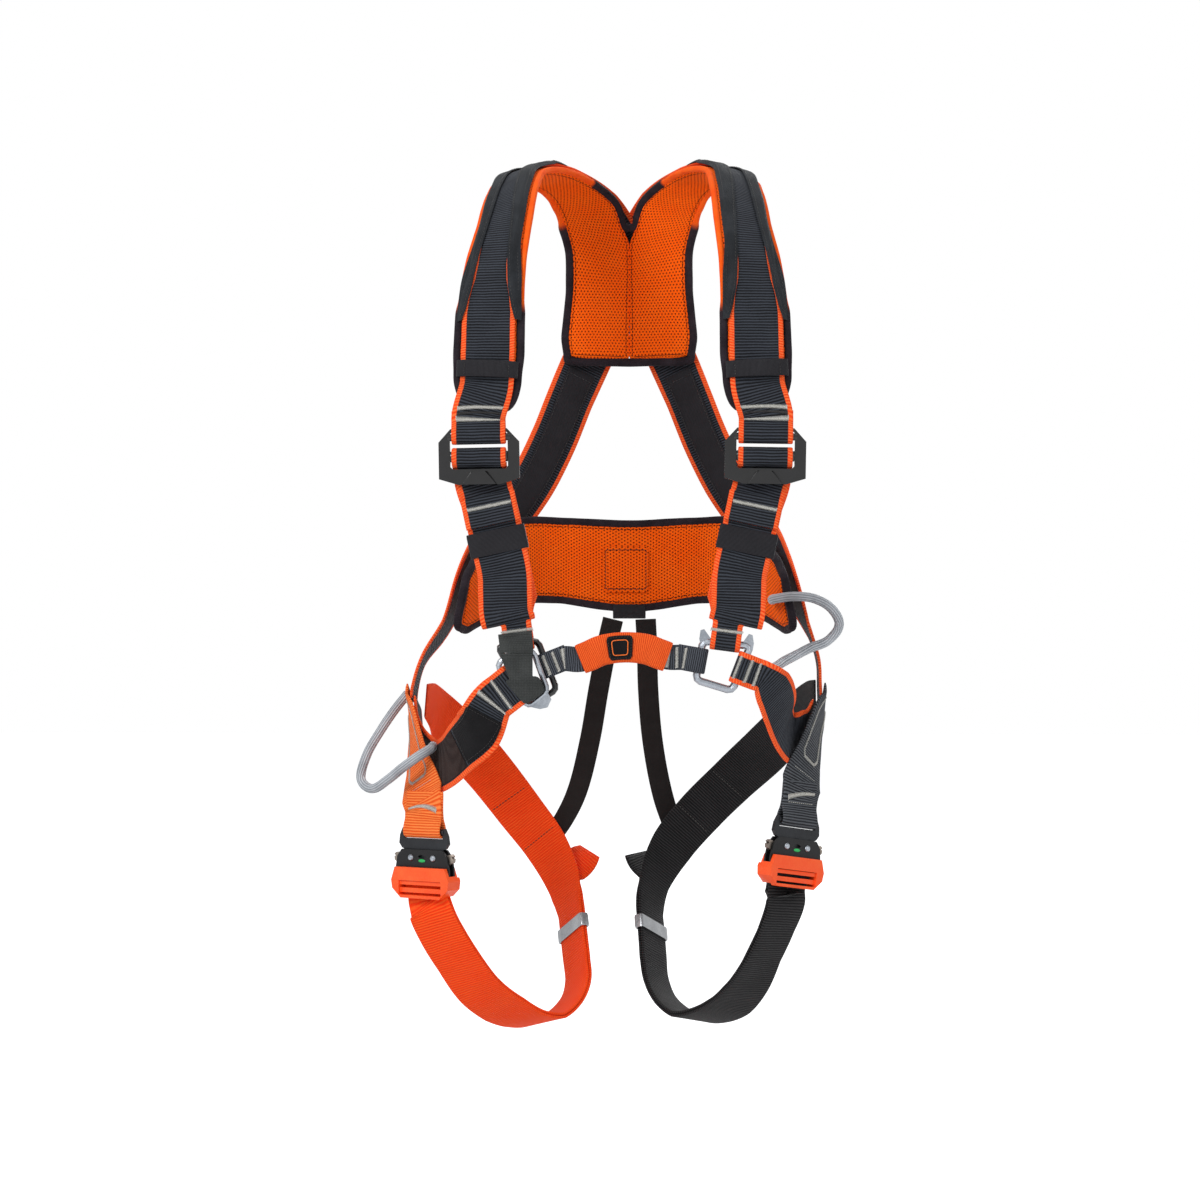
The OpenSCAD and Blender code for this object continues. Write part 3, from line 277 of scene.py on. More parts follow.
def metal(name, hi, lo, rough=0.3, metallic=1.0, coat=0.0, depth=0.00004, spec=0.5):
    """Metal or lacquer with fine grain, faint blotches and handling marks."""
    m = Mat(name)
    p = m.place()
    fine = m.noise(p, 900, 3.0, 0.6)
    broad = m.noise(p, 38, 4.0)
    marks = m.noise(m.stretch(p, 1, 6, 1), 160, 6.0, 0.75)
    tone = m.total((fine, 0.3), (broad, 0.5), (marks, 0.3))
    worn = m.total((marks, 0.14), (fine, 0.08), shift=rough - 0.11)
    m.bump(m.total((marks, 0.6), (fine, 1.0)), depth)
    return m.look(m.mix(m.step(tone, 0.3, 0.8), lo, hi), worn, metal=metallic, coat=coat, spec=spec)


def edge_material():
    """Binding tape: black, or the orange mesh turned over, by the attribute tone."""
    m = Mat("edge_roll")
    p = m.place()
    fine, broad = m.noise(p, 1500, 3.0, 0.7), m.noise(p, 70, 3.0)
    weave = m.wave(m.attr("run"), 1.1)
    pull = m.noise(m.stretch(p, 3, 3, 3), 90, 3.0)
    k = m.step(m.total((weave, 0.25), (fine, 0.5), (broad, 0.8), shift=-0.25), 0.15, 0.95)
    dark, bright = m.mix(k, C(20, 15, 20), C(54, 47, 53)), m.mix(k, C(248, 74, 4), C(255, 112, 30))
    m.bump(m.total((weave, 0.4), (fine, 0.5), (pull, 1.2)), 0.0004)
    return m.look(m.mix(m.attr("tone"), bright, dark), 0.8, spec=0.1, sheen=0.03)


def tube_material():
    """Ribbed rubbery tube of the gear loops."""
    m = Mat("gear_tube")
    p = m.place()
    ridge = m.wave(m.uv()[1], 2.1 * MM)
    fine, broad = m.noise(p, 1200, 3.0), m.noise(p, 60, 4.0)
    # ridge crests are painted lighter and the hollows between them darker: painted highlight and shade; fine and
    # broad are random tone
    tone = m.total((ridge, 0.5), (fine, 0.25), (broad, 0.7), shift=-0.2)
    m.bump(m.total((fine, 0.2), (ridge, 1.0)), 0.0003)
    return m.look(m.mix(m.step(tone, 0.1, 0.95), C(124, 128, 134), C(196, 200, 205)), 0.45, spec=0.3)


def twine(name, hi, lo):
    m = Mat(name)
    p = m.place()
    fine = m.noise(p, 2600, 2.0)
    m.bump(fine, 0.0002)
    return m.look(m.mix(m.step(fine, 0.3, 0.7), lo, hi), 0.5, spec=0.4, sheen=0.2)


# in each web the lighter colour goes on the rib crests, painted highlight, and the darker colour in the grooves,
# painted shade, mixed with random grain
M_WEB = webbing("web_black_orange", C(62, 66, 74), C(9, 9, 12), ORANGE_HI, ORANGE_LO)
M_BLACK = webbing("web_black", C(50, 49, 50), C(7, 7, 8), pitch=2.3)
M_ORANGE = webbing("web_orange", C(255, 92, 30), C(252, 56, 4), pitch=2.3, rough=0.66)
M_PALE = webbing("web_pale_orange", C(255, 142, 72), C(236, 84, 22), pitch=2.2)
M_GREY = webbing("web_grey", C(92, 95, 100), C(20, 21, 24), pitch=2.2)
M_BRIDGE = webbing("web_bridge", C(84, 88, 96), C(22, 23, 27), pitch=1.6, depth=0.0003)
M_ELASTIC = webbing("elastic", C(44, 39, 38), C(14, 11, 11), pitch=0.9, depth=0.00015)
M_KEEPER = webbing("keeper_elastic", C(48, 47, 51), C(14, 13, 16), pitch=1.0, depth=0.00018, rough=0.55)
M_SLEEVE = webbing("sleeve_orange", C(250, 108, 44), C(212, 64, 16), pitch=1.5, depth=0.0003)
# the third colour is painted shade inside the holes of the mesh
M_MESH = holed("mesh_orange", C(255, 108, 18), C(252, 88, 2), C(116, 36, 8))
M_COVER = fabric("cover_fabric", C(58, 61, 65), C(28, 30, 33), pitch=0.6, crease=0.4)
M_PATCH = fabric("patch_fabric", C(30, 29, 31), C(12, 11, 13), pitch=0.6)
M_LEATHER = fabric("flap_rubber", C(74, 76, 75), C(42, 44, 43), pitch=1.3, rough=0.6, crease=1.4)
M_PADDING = fabric("inner_padding", C(62, 46, 42), C(30, 20, 19), pitch=1.1, crease=1.8, depth=0.0006)
M_THREAD = twine("thread_silver", C(222, 220, 212), C(150, 148, 142))
M_DARK_THREAD = twine("thread_black", C(46, 42, 42), C(20, 18, 18))
M_GREY_THREAD = twine("thread_grey", C(96, 92, 88), C(60, 58, 56))
M_ORANGE_THREAD = twine("thread_orange", C(255, 128, 40), C(230, 96, 20))
M_SILVER = metal("steel_satin", C(172, 177, 184), C(128, 134, 142), rough=0.3)
M_STEEL_DARK = metal("steel_lever", C(160, 150, 140), C(92, 84, 78), rough=0.36)
M_GLOSS = metal("black_lacquer", C(22, 22, 24), C(8, 8, 9), rough=0.2, metallic=0.0, coat=0.25, spec=0.4)
M_SATIN = metal("black_anodised", C(44, 46, 50), C(20, 21, 24), rough=0.42, metallic=0.3, spec=0.3)
M_PLASTIC = metal("black_plastic", C(28, 28, 30), C(11, 11, 12), rough=0.5, metallic=0.0, depth=0.0001, spec=0.25)
M_FRAME = metal("orange_frame", C(255, 104, 46), C(250, 72, 18), rough=0.4, metallic=0.0, coat=0.1, spec=0.25)
M_KEEPER_METAL = metal("keeper_steel", C(176, 178, 180), C(112, 114, 118), rough=0.32)
M_GREEN = metal("indicator_green", C(28, 190, 96), C(10, 150, 70), rough=0.4, metallic=0.0)
M_EDGE = edge_material()
M_TUBE = tube_material()


# ---- routes, the same rows and the same curves as the solids ----
def vec(*v):
    return np.array(v, float)


def unit(v):
    v = np.asarray(v, float)
    return v / max(np.linalg.norm(v), 1e-6)


def units(a):
    return a / np.maximum(np.linalg.norm(a, axis=1, keepdims=True), 1e-9)


def rows(*R):
    return [np.array(list(r) + [1.0] * (7 - len(r)), float) for r in R]


def tangent(R, i):
    p = R[i][:3]
    a = unit(p - R[i - 1][:3]) if i > 0 else 0 * p
    b = unit(R[i + 1][:3] - p) if i < len(R) - 1 else 0 * p
    return unit(a + b)


def dense(R, st=14, most=8):
    """More rows along a smooth curve through the given ones, about st apart."""
    out = []
    for i in range(len(R) - 1):
        a, b = R[i][:3], R[i + 1][:3]
        l = np.linalg.norm(b - a)
        n = int(max(1, min(most, math.ceil(round(l / st, 9)))))
        ta, tb = tangent(R, i), tangent(R, i + 1)
        for k in range(n):
            t = k / n
            s, c = t * t, t * t * t
            p = a * (2 * c - 3 * s + 1) + ta * l * (c - 2 * s + t) + b * (3 * s - 2 * c) + tb * l * (c - s)
            out.append(np.concatenate([p, R[i][3:] * (1 - t) + R[i + 1][3:] * t]))
    return out + [R[-1].copy()]


def face(R, i):
    return unit(np.cross(tangent(R, i), R[i][3:6]))


def raised(R, h):
    """Rows on the face of a sheet, h above its middle."""
    return [np.concatenate([R[i][:3] + face(R, i) * h, face(R, i), [1.0]]) for i in range(len(R))]


def lifted(R, h):
    """A web's rows shifted by h along its own facing."""
    out = []
    for i in range(len(R)):
        t = tangent(R, i)
        u = unit(np.cross(R[i][3:6], t))
        m = unit(np.cross(t, u))
        out.append(np.concatenate([R[i][:3] + m * h, m, [R[i][6]]]))
    return out


def narrow(R, k):
    return [np.concatenate([r[:6], [k]]) for r in R]


def rz(p, a):
    c, s = math.cos(math.radians(a)), math.sin(math.radians(a))
    return vec(p[0] * c - p[1] * s, p[0] * s + p[1] * c, p[2])


def ry(p, a):
    c, s = math.cos(math.radians(a)), math.sin(math.radians(a))
    return vec(p[0] * c + p[2] * s, p[1], p[2] * c - p[0] * s)


def seat(R, o, yaw, roll):
    return [np.concatenate([o + rz(ry(r[:3], roll), yaw), rz(ry(r[3:6], roll), yaw), [r[6]]]) for r in R]


def eye(o, D, O, q, la, lb, g):
    """A web's turn round a bar at o: both runs leave along D, O faces out, q is the radius, g half a layer."""
    o, D, O = vec(*o), vec(*D), vec(*O)
    r = q * 1.06
    pts = [(o + D * la + O * g, O), (o + D * r * 2.6 + O * g, O), (o + D * r * 1.1 + O * r * 0.85, O), (o + O * r, O),
           (o + (O - D) * r * 0.707, unit(O - D)), (o - D * r, -D), (o - (O + D) * r * 0.707, unit(-O - D)),
           (o - O * r, -O),
           (o + D * r * 1.1 - O * r * 0.85, -O), (o + D * r * 2.6 - O * g, -O), (o + D * lb - O * g, -O)]
    return [np.concatenate([p, d, [1.0]]) for p, d in pts]


WEB, T, GAP = 45.0, 2.4, 0.3
LAYER = T + GAP
HALF = LAYER / 2
YOKE_T, BELT_T, BIND = 8.0, 9.0, 6.0
ON_PAD = YOKE_T / 2 + 2 * GAP + T / 2
COVER = 1.2
ON_WEB = ON_PAD + T / 2 + GAP + COVER / 2

yoke_rows = rows([-29, 100, -139, 58, 3, -3], [-30, 103, -122, 60, 6, 0], [-28, 106, -78, 56, 10, 0],
                 [-28, 102, -48, 56, 18, -8], [-31, 93, -27, 60, 26, -6], [-39, 76, -4, 56, 26, 8],
                 [-56, 48, 10, 44, 16, 11], [-75, 18, 13, 43, -6, 10], [-90, -10, 8, 43, -22, 8],
                 [-96, -50, -10, 44, -22, 6], [-101, -86, -46, 46, -18, 4], [-107, -106, -84, 50, -12, 2],
                 [-110, -116, -124, 54, -6, 1], [-111, -120, -158, 55, -3, -1], [-112, -121, -184, 51, -2, -3],
                 [-112, -121, -198, 40, -2, -3])
yoke = dense(yoke_rows, 14)
yoke_over = dense(yoke_rows[6:15], 14)
ADJ = vec(-118.5, -126, -243)
ADJ_ROLL = -1
cross_rows = rows([-30, 109, -2, -0.2, 0.7, 0.5], [-20, 119.5, -14, 0, 1, 0.3], [-10, 121.8, -32, 0, 1, 0],
                  [0, 121.8, -50, 0, 1, 0], [14, 121.8, -84, 0, 1, 0], [27, 117.5, -112, 0, 1, 0],
                  [40, 111, -142, 0.2, 1, 0])
side_rows = rows([54, 108, -175, 0.4, 1, 0], [70, 106, -215, 0.4, 1, 0], [88, 100, -252, 0.45, 1, 0],
                 [109, 82, -286, 0.6, 0.8, 0], [131, 42, -322, 0.9, 0.5, 0], [146, 4, -353, 1, 0.2, 0.1],
                 [159, -18, -388, 1, 0, 0.2])
hip_right = rows([167, -22, -415, 1, 0, 0.1], [168, -24, -438, 1, 0, 0], [168.4, -26, -449, 1, 0, 0])
hip_left = rows([176, -28, -415, 1, 0, 0.3], [183, -31, -440, 1, 0, 0.1], [183.6, -33, -450, 1, 0, 0])
web_down = eye(ADJ + ry(vec(0, 0, 16), ADJ_ROLL), ry(vec(0, 0, 1), ADJ_ROLL), (0, -1, 0), 3 + GAP + T / 2, 16, 22,
               HALF)
CREST = 0.8  # the web stands off the pad a little more on top of the shoulder
over_pad = raised(yoke_over, ON_PAD)
for r in over_pad:
    if r[1] > 10:
        r[:3] += CREST * vec(0, r[4], r[5])


def raised_cross(h):
    out = [r.copy() for r in cross_rows]
    for r in out:
        r[:3] += vec(0, r[4], r[5]) * h * 1.25
    return out


LOW_D, LOW_U = unit(vec(0.21, 0, -0.977)), unit(vec(0.977, 0, 0.21))
LOW_O = unit(np.cross(LOW_D, LOW_U))
BAR_R = 4.5 + GAP + T / 2
MAIN_H = -BAR_R - GAP
TAIL_H = MAIN_H + LAYER + 0.1
TURN_H = TAIL_H + LAYER + 0.1
LINK_C = vec(-85.5, -126, -398)
FOLD = 140.0
SILL = 4.5 + GAP + T + GAP + 1.5 + 1.4


def low(q):
    """A place on the chest strap below the adjuster: along it, out of it and across it."""
    return ADJ + LOW_D * q[0] + LOW_O * q[1] + LOW_U * (q[4] if len(q) > 4 else 0)


def lows(*Q):
    return [np.concatenate([low(q), unit(LOW_O * q[3] + LOW_D * q[2]), [1.0]]) for q in Q]


def near(*Q):
    """Rows close to the adjuster: across, up, out and facing."""
    return seat(rows(*[(q[0], -q[2], q[1], 0, -q[4], q[3]) for q in Q]), ADJ, 0, ADJ_ROLL)


LINK_D = 6.5
chest_rows = (
    narrow(eye(LINK_C, unit(vec(-0.13, -0.04, 0.99)), (0, -1, 0), LINK_D / 2 + GAP + T / 2, 16, 28, HALF), 0.56)[::-1]
    + lows([124, MAIN_H, 0, 1], [100, MAIN_H, 0, 1], [72, MAIN_H, 0, 1], [46, MAIN_H, 0, 1])
    + near([1, -20, MAIN_H, 0, 1], [0, -7, MAIN_H, 0, 1], [0, 0, -BAR_R, 0, -1], [0, 4.65, -4.65, 0.7, -0.7],
           [0, BAR_R + 0.25, 0, 1, 0], [0, 4.65, 4.65, 0.7, 0.7], [0, 0, BAR_R + 0.15, 0, 1], [0, -5.4, 4.9, -0.6,
                   0.8],
           [0, -7.9, 0.8, -0.95, 0.3], [0, -9, -3.3, -0.6, 0.8], [1, -SILL - 2.6, TAIL_H - 0.1, 0, 1])
    + lows([46, TAIL_H, 0, 1], [72, TAIL_H, 0, 1], [100, TAIL_H, 0, 1], [120, TAIL_H, 0, 1, -3],
           [FOLD - 8, TAIL_H + 0.8, 0, 1, -5], [FOLD - 2, TAIL_H + 1.4, 0.6, -0.8, -5], [FOLD, TAIL_H + 4.6, 1, 0,
                   -5],
           [FOLD - 2, TAIL_H + 7.6, 0.6, 0.8, -5], [FOLD - 9, TAIL_H + 8, 0, 1, -5], [118, TURN_H + 2.4, 0, 1, -3],
           [100, TURN_H, 0, 1], [72, TURN_H, 0, 1], [34, TURN_H, 0, 1]))
TAIL_T = 4.6
tail_h = TURN_H + HALF + TAIL_T / 2
tail_rows = lows([33, tail_h, 0, 1], [45, tail_h, 0, 1], [58, tail_h, 0, 1])

R_TL, R_TR, R_BR, R_BL = vec(67, -126, -396), vec(106, -126, -400), vec(91, -126, -437), vec(61, -126, -428)
L_TR, L_BR = vec(-70, -126, -395.5), vec(-54, -126, -436)
HOOK_Y, FLAP_Y = -135.5, -142.5
HOOK_LOW, HOOK_OUT = vec(-77, HOOK_Y, -450), vec(-103, HOOK_Y, -416)
EYE_R = LINK_D / 2 + GAP + T / 2
bridge_rows = (
    eye((L_TR + L_BR) / 2, unit(vec(0.93, -0.12, 0.37)), (0, -1, 0), EYE_R, 14, 19, HALF)[::-1]
    + rows([-34, -132, -411, 0, -1, 0], [-18, -134, -404, 0, -1, 0], [2, -135, -401, 0, -1, 0], [22, -134, -403, 0,
            -1, 0],
           [38, -132, -409, 0, -1, 0])
    + eye((R_TL + R_BL) / 2, unit(vec(-0.98, -0.1, 0.18)), (0, -1, 0), EYE_R, 14, 19, HALF))
waist_left_rows = (
    narrow(eye((HOOK_LOW + HOOK_OUT) / 2, unit(vec(-0.79, 0.1, -0.61)), (0, -1, 0), 2.5 + GAP + T / 2, 20, 20,
               HALF), 0.8)[::-1]
    + rows([-120, -125, -470, -0.2, -1, 0], [-134, -112, -484, -0.6, -0.8, 0], [-148, -93, -498, -0.8, -0.6, 0],
           [-160, -72, -503, -0.9, -0.4, 0], [-169, -52, -492, -1, -0.1, 0], [-177.5, -38, -470, -1, 0, 0],
           [-180.4, -32, -450, -1, 0, 0]))
waist_right_rows = (
    narrow(eye((R_TR + R_BR) / 2, unit(vec(0.93, 0.06, -0.36)), (0, -1, 0), EYE_R, 20, 13.6, HALF), 0.6)[::-1]
    + rows([125, -118, -435, 0.4, -1, 0, 0.84], [131, -104, -449, 0.6, -0.8, 0, 0.96], [137, -80, -472, 0.9, -0.5, 0],
           [144, -62, -480, 0.95, -0.3, 0], [154, -46, -472, 1, -0.1, 0, 0.97], [161.2, -36, -457, 1, 0, 0, 0.88]))
belt_half = rows([-140, -36, -362, -8, -9, -48], [-136, -20, -358, -8, -10, -62], [-120, 26, -342, -4, -10, -72],
                 [-97, 64, -327, 2, -4, -74], [-62, 92, -326, 0, 0, -74], [-30, 102, -329, 0, 0, -78],
                 [0, 104, -331, 0, 0, -80])
belt_rows = belt_half + [r * vec(-1, 1, 1, -1, 1, 1, 1) for r in belt_half[-2::-1]]
belt = dense(belt_rows, 14)
riser_left_rows = rows([-15, 104, -379.8, 0, 1, 0], [-21, 116, -404, 0, 1, 0], [-29, 121, -445, 0, 1, 0],
                       [-37, 120, -492, 0, 1, 0], [-49, 112, -540, 0.2, 1, 0], [-60, 104.5, -563, 0.4, 0.9, 0.1],
                       [-73.3, 98, -582, 0.45, 0.9, 0])
riser_right_rows = rows([15, 104, -379.8, 0, 1, 0], [16, 116, -404, 0, 1, 0], [17, 121, -445, 0, 1, 0],
                        [21, 121, -492, 0, 1, 0], [30, 116, -540, -0.1, 1, 0], [38, 109.4, -565, -0.4, 0.9, 0.1],
                        [45.3, 104.6, -583, -0.45, 0.87, 0])
BUCKLE = {"left": (vec(-168, -86, -580), -33, -1), "right": (vec(144, -75, -571), 41, 9)}
leg_l = rows([-163, -86, -622, -0.5, -0.86, 0], [-153, -83, -645, -0.48, -0.87, 0], [-139, -74, -670, -0.4, -0.88,
        -0.2],
             [-122, -58, -697, -0.2, -0.85, -0.45], [-104, -41, -714, 0, -0.7, -0.7], [-86, -23, -725, 0.1, -0.4,
                     -0.9],
             [-69, -4, -728, 0.25, -0.1, -0.95], [-55, 16, -721, 0.55, 0.1, -0.8], [-47, 32, -709, 0.75, 0.35, -0.4],
             [-46, 46, -693, 0.8, 0.5, 0], [-48.5, 55, -676, 0.8, 0.5, 0], [-51, 64, -659, 0.8, 0.5, 0],
             [-53.5, 73, -642, 0.8, 0.5, 0], [-60, 85, -618, 0.65, 0.7, 0], [-76, 96, -588, 0.45, 0.9, 0],
             [-101, 100, -555, 0.1, 0.97, 0.2], [-124, 93, -524, -0.2, 0.9, 0.4], [-147, 68, -493, -0.6, 0.7, 0.4],
             [-165, 34, -468, -0.9, 0.3, 0.2], [-171, 6, -455, -1, 0.1, 0.05, 0.9], [-175, -12, -450, -1, 0, 0.05,
                     0.66])
leg_r = rows([136, -76, -617, 0.72, -0.7, 0], [128, -73, -641, 0.75, -0.66, 0], [116, -65, -668, 0.7, -0.7, -0.15],
             [103, -50, -694, 0.45, -0.75, -0.4], [89, -33, -712, 0.2, -0.65, -0.7], [73, -16, -722, 0, -0.4, -0.9],
             [56, 1, -726, -0.2, -0.1, -0.97], [41, 19, -720, -0.5, 0.1, -0.8], [30, 35, -708, -0.8, 0.35, -0.4],
             [25, 47, -692, -0.86, 0.5, 0], [23.5, 56, -675, -0.86, 0.5, 0], [22, 65, -658, -0.86, 0.5, 0],
             [20.5, 74, -641, -0.86, 0.5, 0], [24, 87, -617, -0.8, 0.6, 0], [39, 99, -588, -0.5, 0.85, 0],
             [66, 106, -556, -0.15, 0.96, 0.2], [95, 101, -527, 0.1, 0.9, 0.4], [124, 78, -498, 0.5, 0.75, 0.4],
             [149, 38, -468, 0.9, 0.3, 0.2], [158.5, 8, -454, 1, 0.1, 0, 0.92], [164.9, -15, -449, 1, 0, 0, 0.8])
tips = {"left": rows([-36, 94, -592, 0.9, 0.4, 0.2]), "right": rows([6, 96, -594, -0.9, 0.4, 0.2])}
stub_l = rows([-187, -33, -441, -1, 0, 0.05], [-187.2, -37, -452, -1, 0, 0], [-182.5, -50, -471, -1, -0.2, 0.05],
              [-176.8, -65.4, -502, -0.88, -0.47, 0.12], [-171.3, -79, -526, -0.62, -0.76, 0.35])
stub_r = rows([171.8, -26, -440, 1, 0, 0], [171.8, -30, -451, 1, 0, 0], [165.5, -42, -468, 1, -0.2, 0.05],
              [157.2, -56, -497, 0.88, -0.47, 0.08], [150.9, -66.5, -518, 0.68, -0.7, 0.22])
gear_l = rows([-190.8, -14, -444], [-201, -18, -457], [-213, -22, -475], [-225, -32, -498], [-228, -42, -517],
              [-217, -56, -524], [-201, -72, -515], [-187, -86, -504], [-173, -93, -494], [-163.4, -86.2, -488],
              [-161.8, -78.2, -486])
gear_r = rows([127.4, -20, -362], [129, -42, -361], [146, -54, -359], [163, -48, -361], [178, -44, -370],
              [184, -44, -383], [175, -48, -396], [158, -60, -403], [144, -77, -409.5], [134, -95, -414],
              [127, -110.5, -418], [122.7, -119.4, -419.4])


# ---- mesh makers ----
def lay(name, verts, faces, mat, body=ROOT, nodes=(), uv=None, rim=None, extra=None, sharp=50):
    """A mesh from points in millimetres. uv is one pair for each point, in millimetres, and rim one number."""
    me = bpy.data.meshes.new(name)
    me.from_pydata((np.asarray(verts) * MM).tolist(), [], faces)
    me.validate()
    loops = np.zeros(len(me.loops), int)
    me.loops.foreach_get("vertex_index", loops)
    layer = me.uv_layers.new(name="UVMap")
    if uv is not None:
        layer.data.foreach_set("uv", (np.asarray(uv, float)[loops] * MM).ravel())
    for key, val in dict(extra or {}, rim=rim).items():
        if val is not None:
            me.attributes.new(key, "FLOAT", "POINT").data.foreach_set("value", np.asarray(val, np.float32).ravel())
    bm = bmesh.new()
    bm.from_mesh(me)
    bmesh.ops.recalc_face_normals(bm, faces=bm.faces)
    bm.to_mesh(me)
    bm.free()
    me.polygons.foreach_set("use_smooth", [True] * len(me.polygons))
    me.set_sharp_from_angle(angle=math.radians(sharp))
    me.materials.append(mat)
    o = bpy.data.objects.new(name, me)
    scene.collection.objects.link(o)
    if body:
        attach(o, body)
    if nodes:
        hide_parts(*nodes)
    return o


def rings(S, closed=False):
    """A skin over rings of points, capped unless it closes on itself."""
    n, m = len(S), len(S[0])
    F = []
    for i in range(n if closed else n - 1):
        k = (i + 1) % n
        F += [(i * m + j, i * m + (j + 1) % m, k * m + (j + 1) % m, k * m + j) for j in range(m)]
    if not closed:
        F += [tuple(range(m))[::-1], tuple((n - 1) * m + j for j in range(m))]
    return np.concatenate(S), F


def length(P):
    """Distance run along the points up to each of them."""
    return np.concatenate([[0], np.cumsum(np.linalg.norm(np.diff(P, axis=0), axis=1))])


def at(s, S, A):
    """Rows of A, known at S, at the places s."""
    return np.stack([np.interp(s, S, A[:, k]) for k in range(3)], 1)


def tangents(P):
    step = units(np.diff(P, axis=0))
    return units(np.vstack([step[:1], step[:-1] + step[1:], step[-1:]]))


class Web:
    """A flat web along rows of point and facing, or a sheet along rows of point and width vector."""

    def __init__(self, R, w=None, t=T, fine=3.2, mirror=False, flat=False):
        D = dense(R, fine, 80)
        self.P = np.array([r[:3] for r in D])
        V, K = np.array([r[3:6] for r in D]), np.array([r[6] for r in D])
        tt = tangents(self.P)
        if flat:
            self.W = np.linalg.norm(V, axis=1)
            self.U = units(V)
            self.M = units(np.cross(tt, V))
        else:
            self.U = units(np.cross(V, tt))
            self.M = units(np.cross(tt, self.U))
            self.W = w * K
        self.T, self.t, self.mirror = tt, t, mirror
        self.S = length(self.P)
        self.n = len(self.S)

    def side(self, p):
        p = np.asarray(p, float).copy()
        if self.mirror:
            p[..., 0] *= -1
        return p

    def get(self, s):
        """Point, width direction, facing, width and tangent at each arc length."""
        s = np.atleast_1d(s)
        p, u, m, tt = (at(s, self.S, a) for a in (self.P, self.U, self.M, self.T))
        return p, units(u), units(m), np.interp(s, self.S, self.W), units(tt)

    def on(self, s, x, h=0.0, face=1):
        """Points on the outer (1) or inner (-1) face, h above it."""
        p, u, m, w, _ = self.get(s)
        return p + u * np.atleast_1d(x)[:, None] + m * (face * (self.t / 2 + np.atleast_1d(h)))[:, None]

    def cut(self, s0, s1, lift):
        """Rows from s0 to s1, lift above the middle."""
        p, u, m, w, _ = self.get(np.linspace(s0, s1, max(3, int(abs(s1 - s0) / 4) + 1)))
        return [np.concatenate([q + f * lift, f, [1.0]]) for q, f in zip(p, m)]

    def soften(self, r):
        """Rounds the corners of the sheet by narrowing its ends."""
        e = np.minimum(self.S, self.S[-1] - self.S)
        self.W = self.W - 2 * (r - np.sqrt(np.maximum(0, r * r - np.maximum(0, r - e) ** 2)))

    def make(self, name, mat, node=None, slot=None, body=ROOT):
        b = self.t / 2
        S, UV, RIM = [], [], []
        for i in range(self.n):
            a = self.W[i] / 2
            bb = b
            end = min(self.S[i], self.S[-1] - self.S[i])
            if end < b:
                bb *= 0.55 + 0.45 * math.sqrt(max(0, 1 - (1 - end / b) ** 2))
            x = np.linspace(-(a - b), a - b, 5)
            arc = np.radians([54, 18, -18, -54])
            X = np.concatenate([x, a - b + b * np.cos(arc), x[::-1], -(a - b) - b * np.cos(arc)])
            Y = np.concatenate([x * 0 + bb, bb * np.sin(arc), x * 0 - bb, -bb * np.sin(arc)])
            S.append(self.P[i] + np.outer(X, self.U[i]) + np.outer(Y, self.M[i]))
            UV.append(np.stack([X, X * 0 + self.S[i]], 1))
            RIM.append(a - np.abs(X))
        V, F = rings(S)
        nodes = [node] if node else ()
        return lay(name, self.side(V), F, mat, body, nodes, np.concatenate(UV), np.concatenate(RIM))

    def sleeve(self, name, mat, wall, node, slot, rnd, body=ROOT, puff=0.0):
        """A flat tube round the route: W and t are its inside, rnd rounds its edges."""
        S, UV, RIM = [], [], []
        for outer, order in ((1, range(self.n)), (0, range(self.n - 1, -1, -1))):
            for i in order:
                a, b = self.W[i] / 2 + wall * outer, self.t / 2 + wall * outer
                q = (i / (self.n - 1)) * 2 - 1
                b += puff * (1 - q * q) * outer
                r = min(b * 0.98, rnd)
                end = 0.25 if i in (0, self.n - 1) and outer else 0
                a, b = a - end, b - end
                arc = np.radians(np.linspace(90, 0, 5))
                cx, cy = a - r + r * np.cos(arc), b - r + r * np.sin(arc)
                top = np.linspace(-(a - r), a - r, 7)[1:-1]
                X = np.concatenate([top, cx, cx[::-1], top[::-1], -cx, -cx[::-1]])
                Y = np.concatenate([top * 0 + b, cy, -cy[::-1], top * 0 - b, -cy, cy[::-1]])
                S.append(self.P[i] + np.outer(X, self.U[i]) + np.outer(Y, self.M[i]))
                UV.append(np.stack([X, X * 0 + self.S[i]], 1))
                RIM.append(a - np.abs(X))
        V, F = rings(S, closed=True)
        return lay(name, self.side(V), F, mat, body, [node], np.concatenate(UV), np.concatenate(RIM))


def tube(P, r, ref, k=16, ridges=0, depth=0.0):
    """Rings of a round bar along points. r may be a number or one for each point, ref a direction off the bar."""
    P = np.asarray(P, float)
    tt = tangents(P)
    u = units(np.cross(np.broadcast_to(np.asarray(ref, float), P.shape), tt))
    m = units(np.cross(tt, u))
    r = np.broadcast_to(r, (len(P),))
    th = np.arange(k) * 2 * math.pi / k
    w = 1 + depth * np.cos(ridges * th)
    return [P[i] + (np.outer(np.cos(th) * w, u[i]) + np.outer(np.sin(th) * w, m[i])) * r[i] for i in range(len(P))]


def outer_s(w, axis, value):
    """Arc length of the run nearest the camera that passes a coordinate."""
    c = w.P[:, axis] - value
    k = np.nonzero(c[:-1] * c[1:] <= 0)[0]
    i = min(k, key=lambda i: w.P[i, 1])
    return w.S[i] + (w.S[i + 1] - w.S[i]) * abs(c[i]) / max(abs(c[i]) + abs(c[i + 1]), 1e-9)


def front(w, s):
    """1 where the outer face of a web looks at the camera, else -1."""
    return 1 if w.get(s)[2][0][1] < 0 else -1


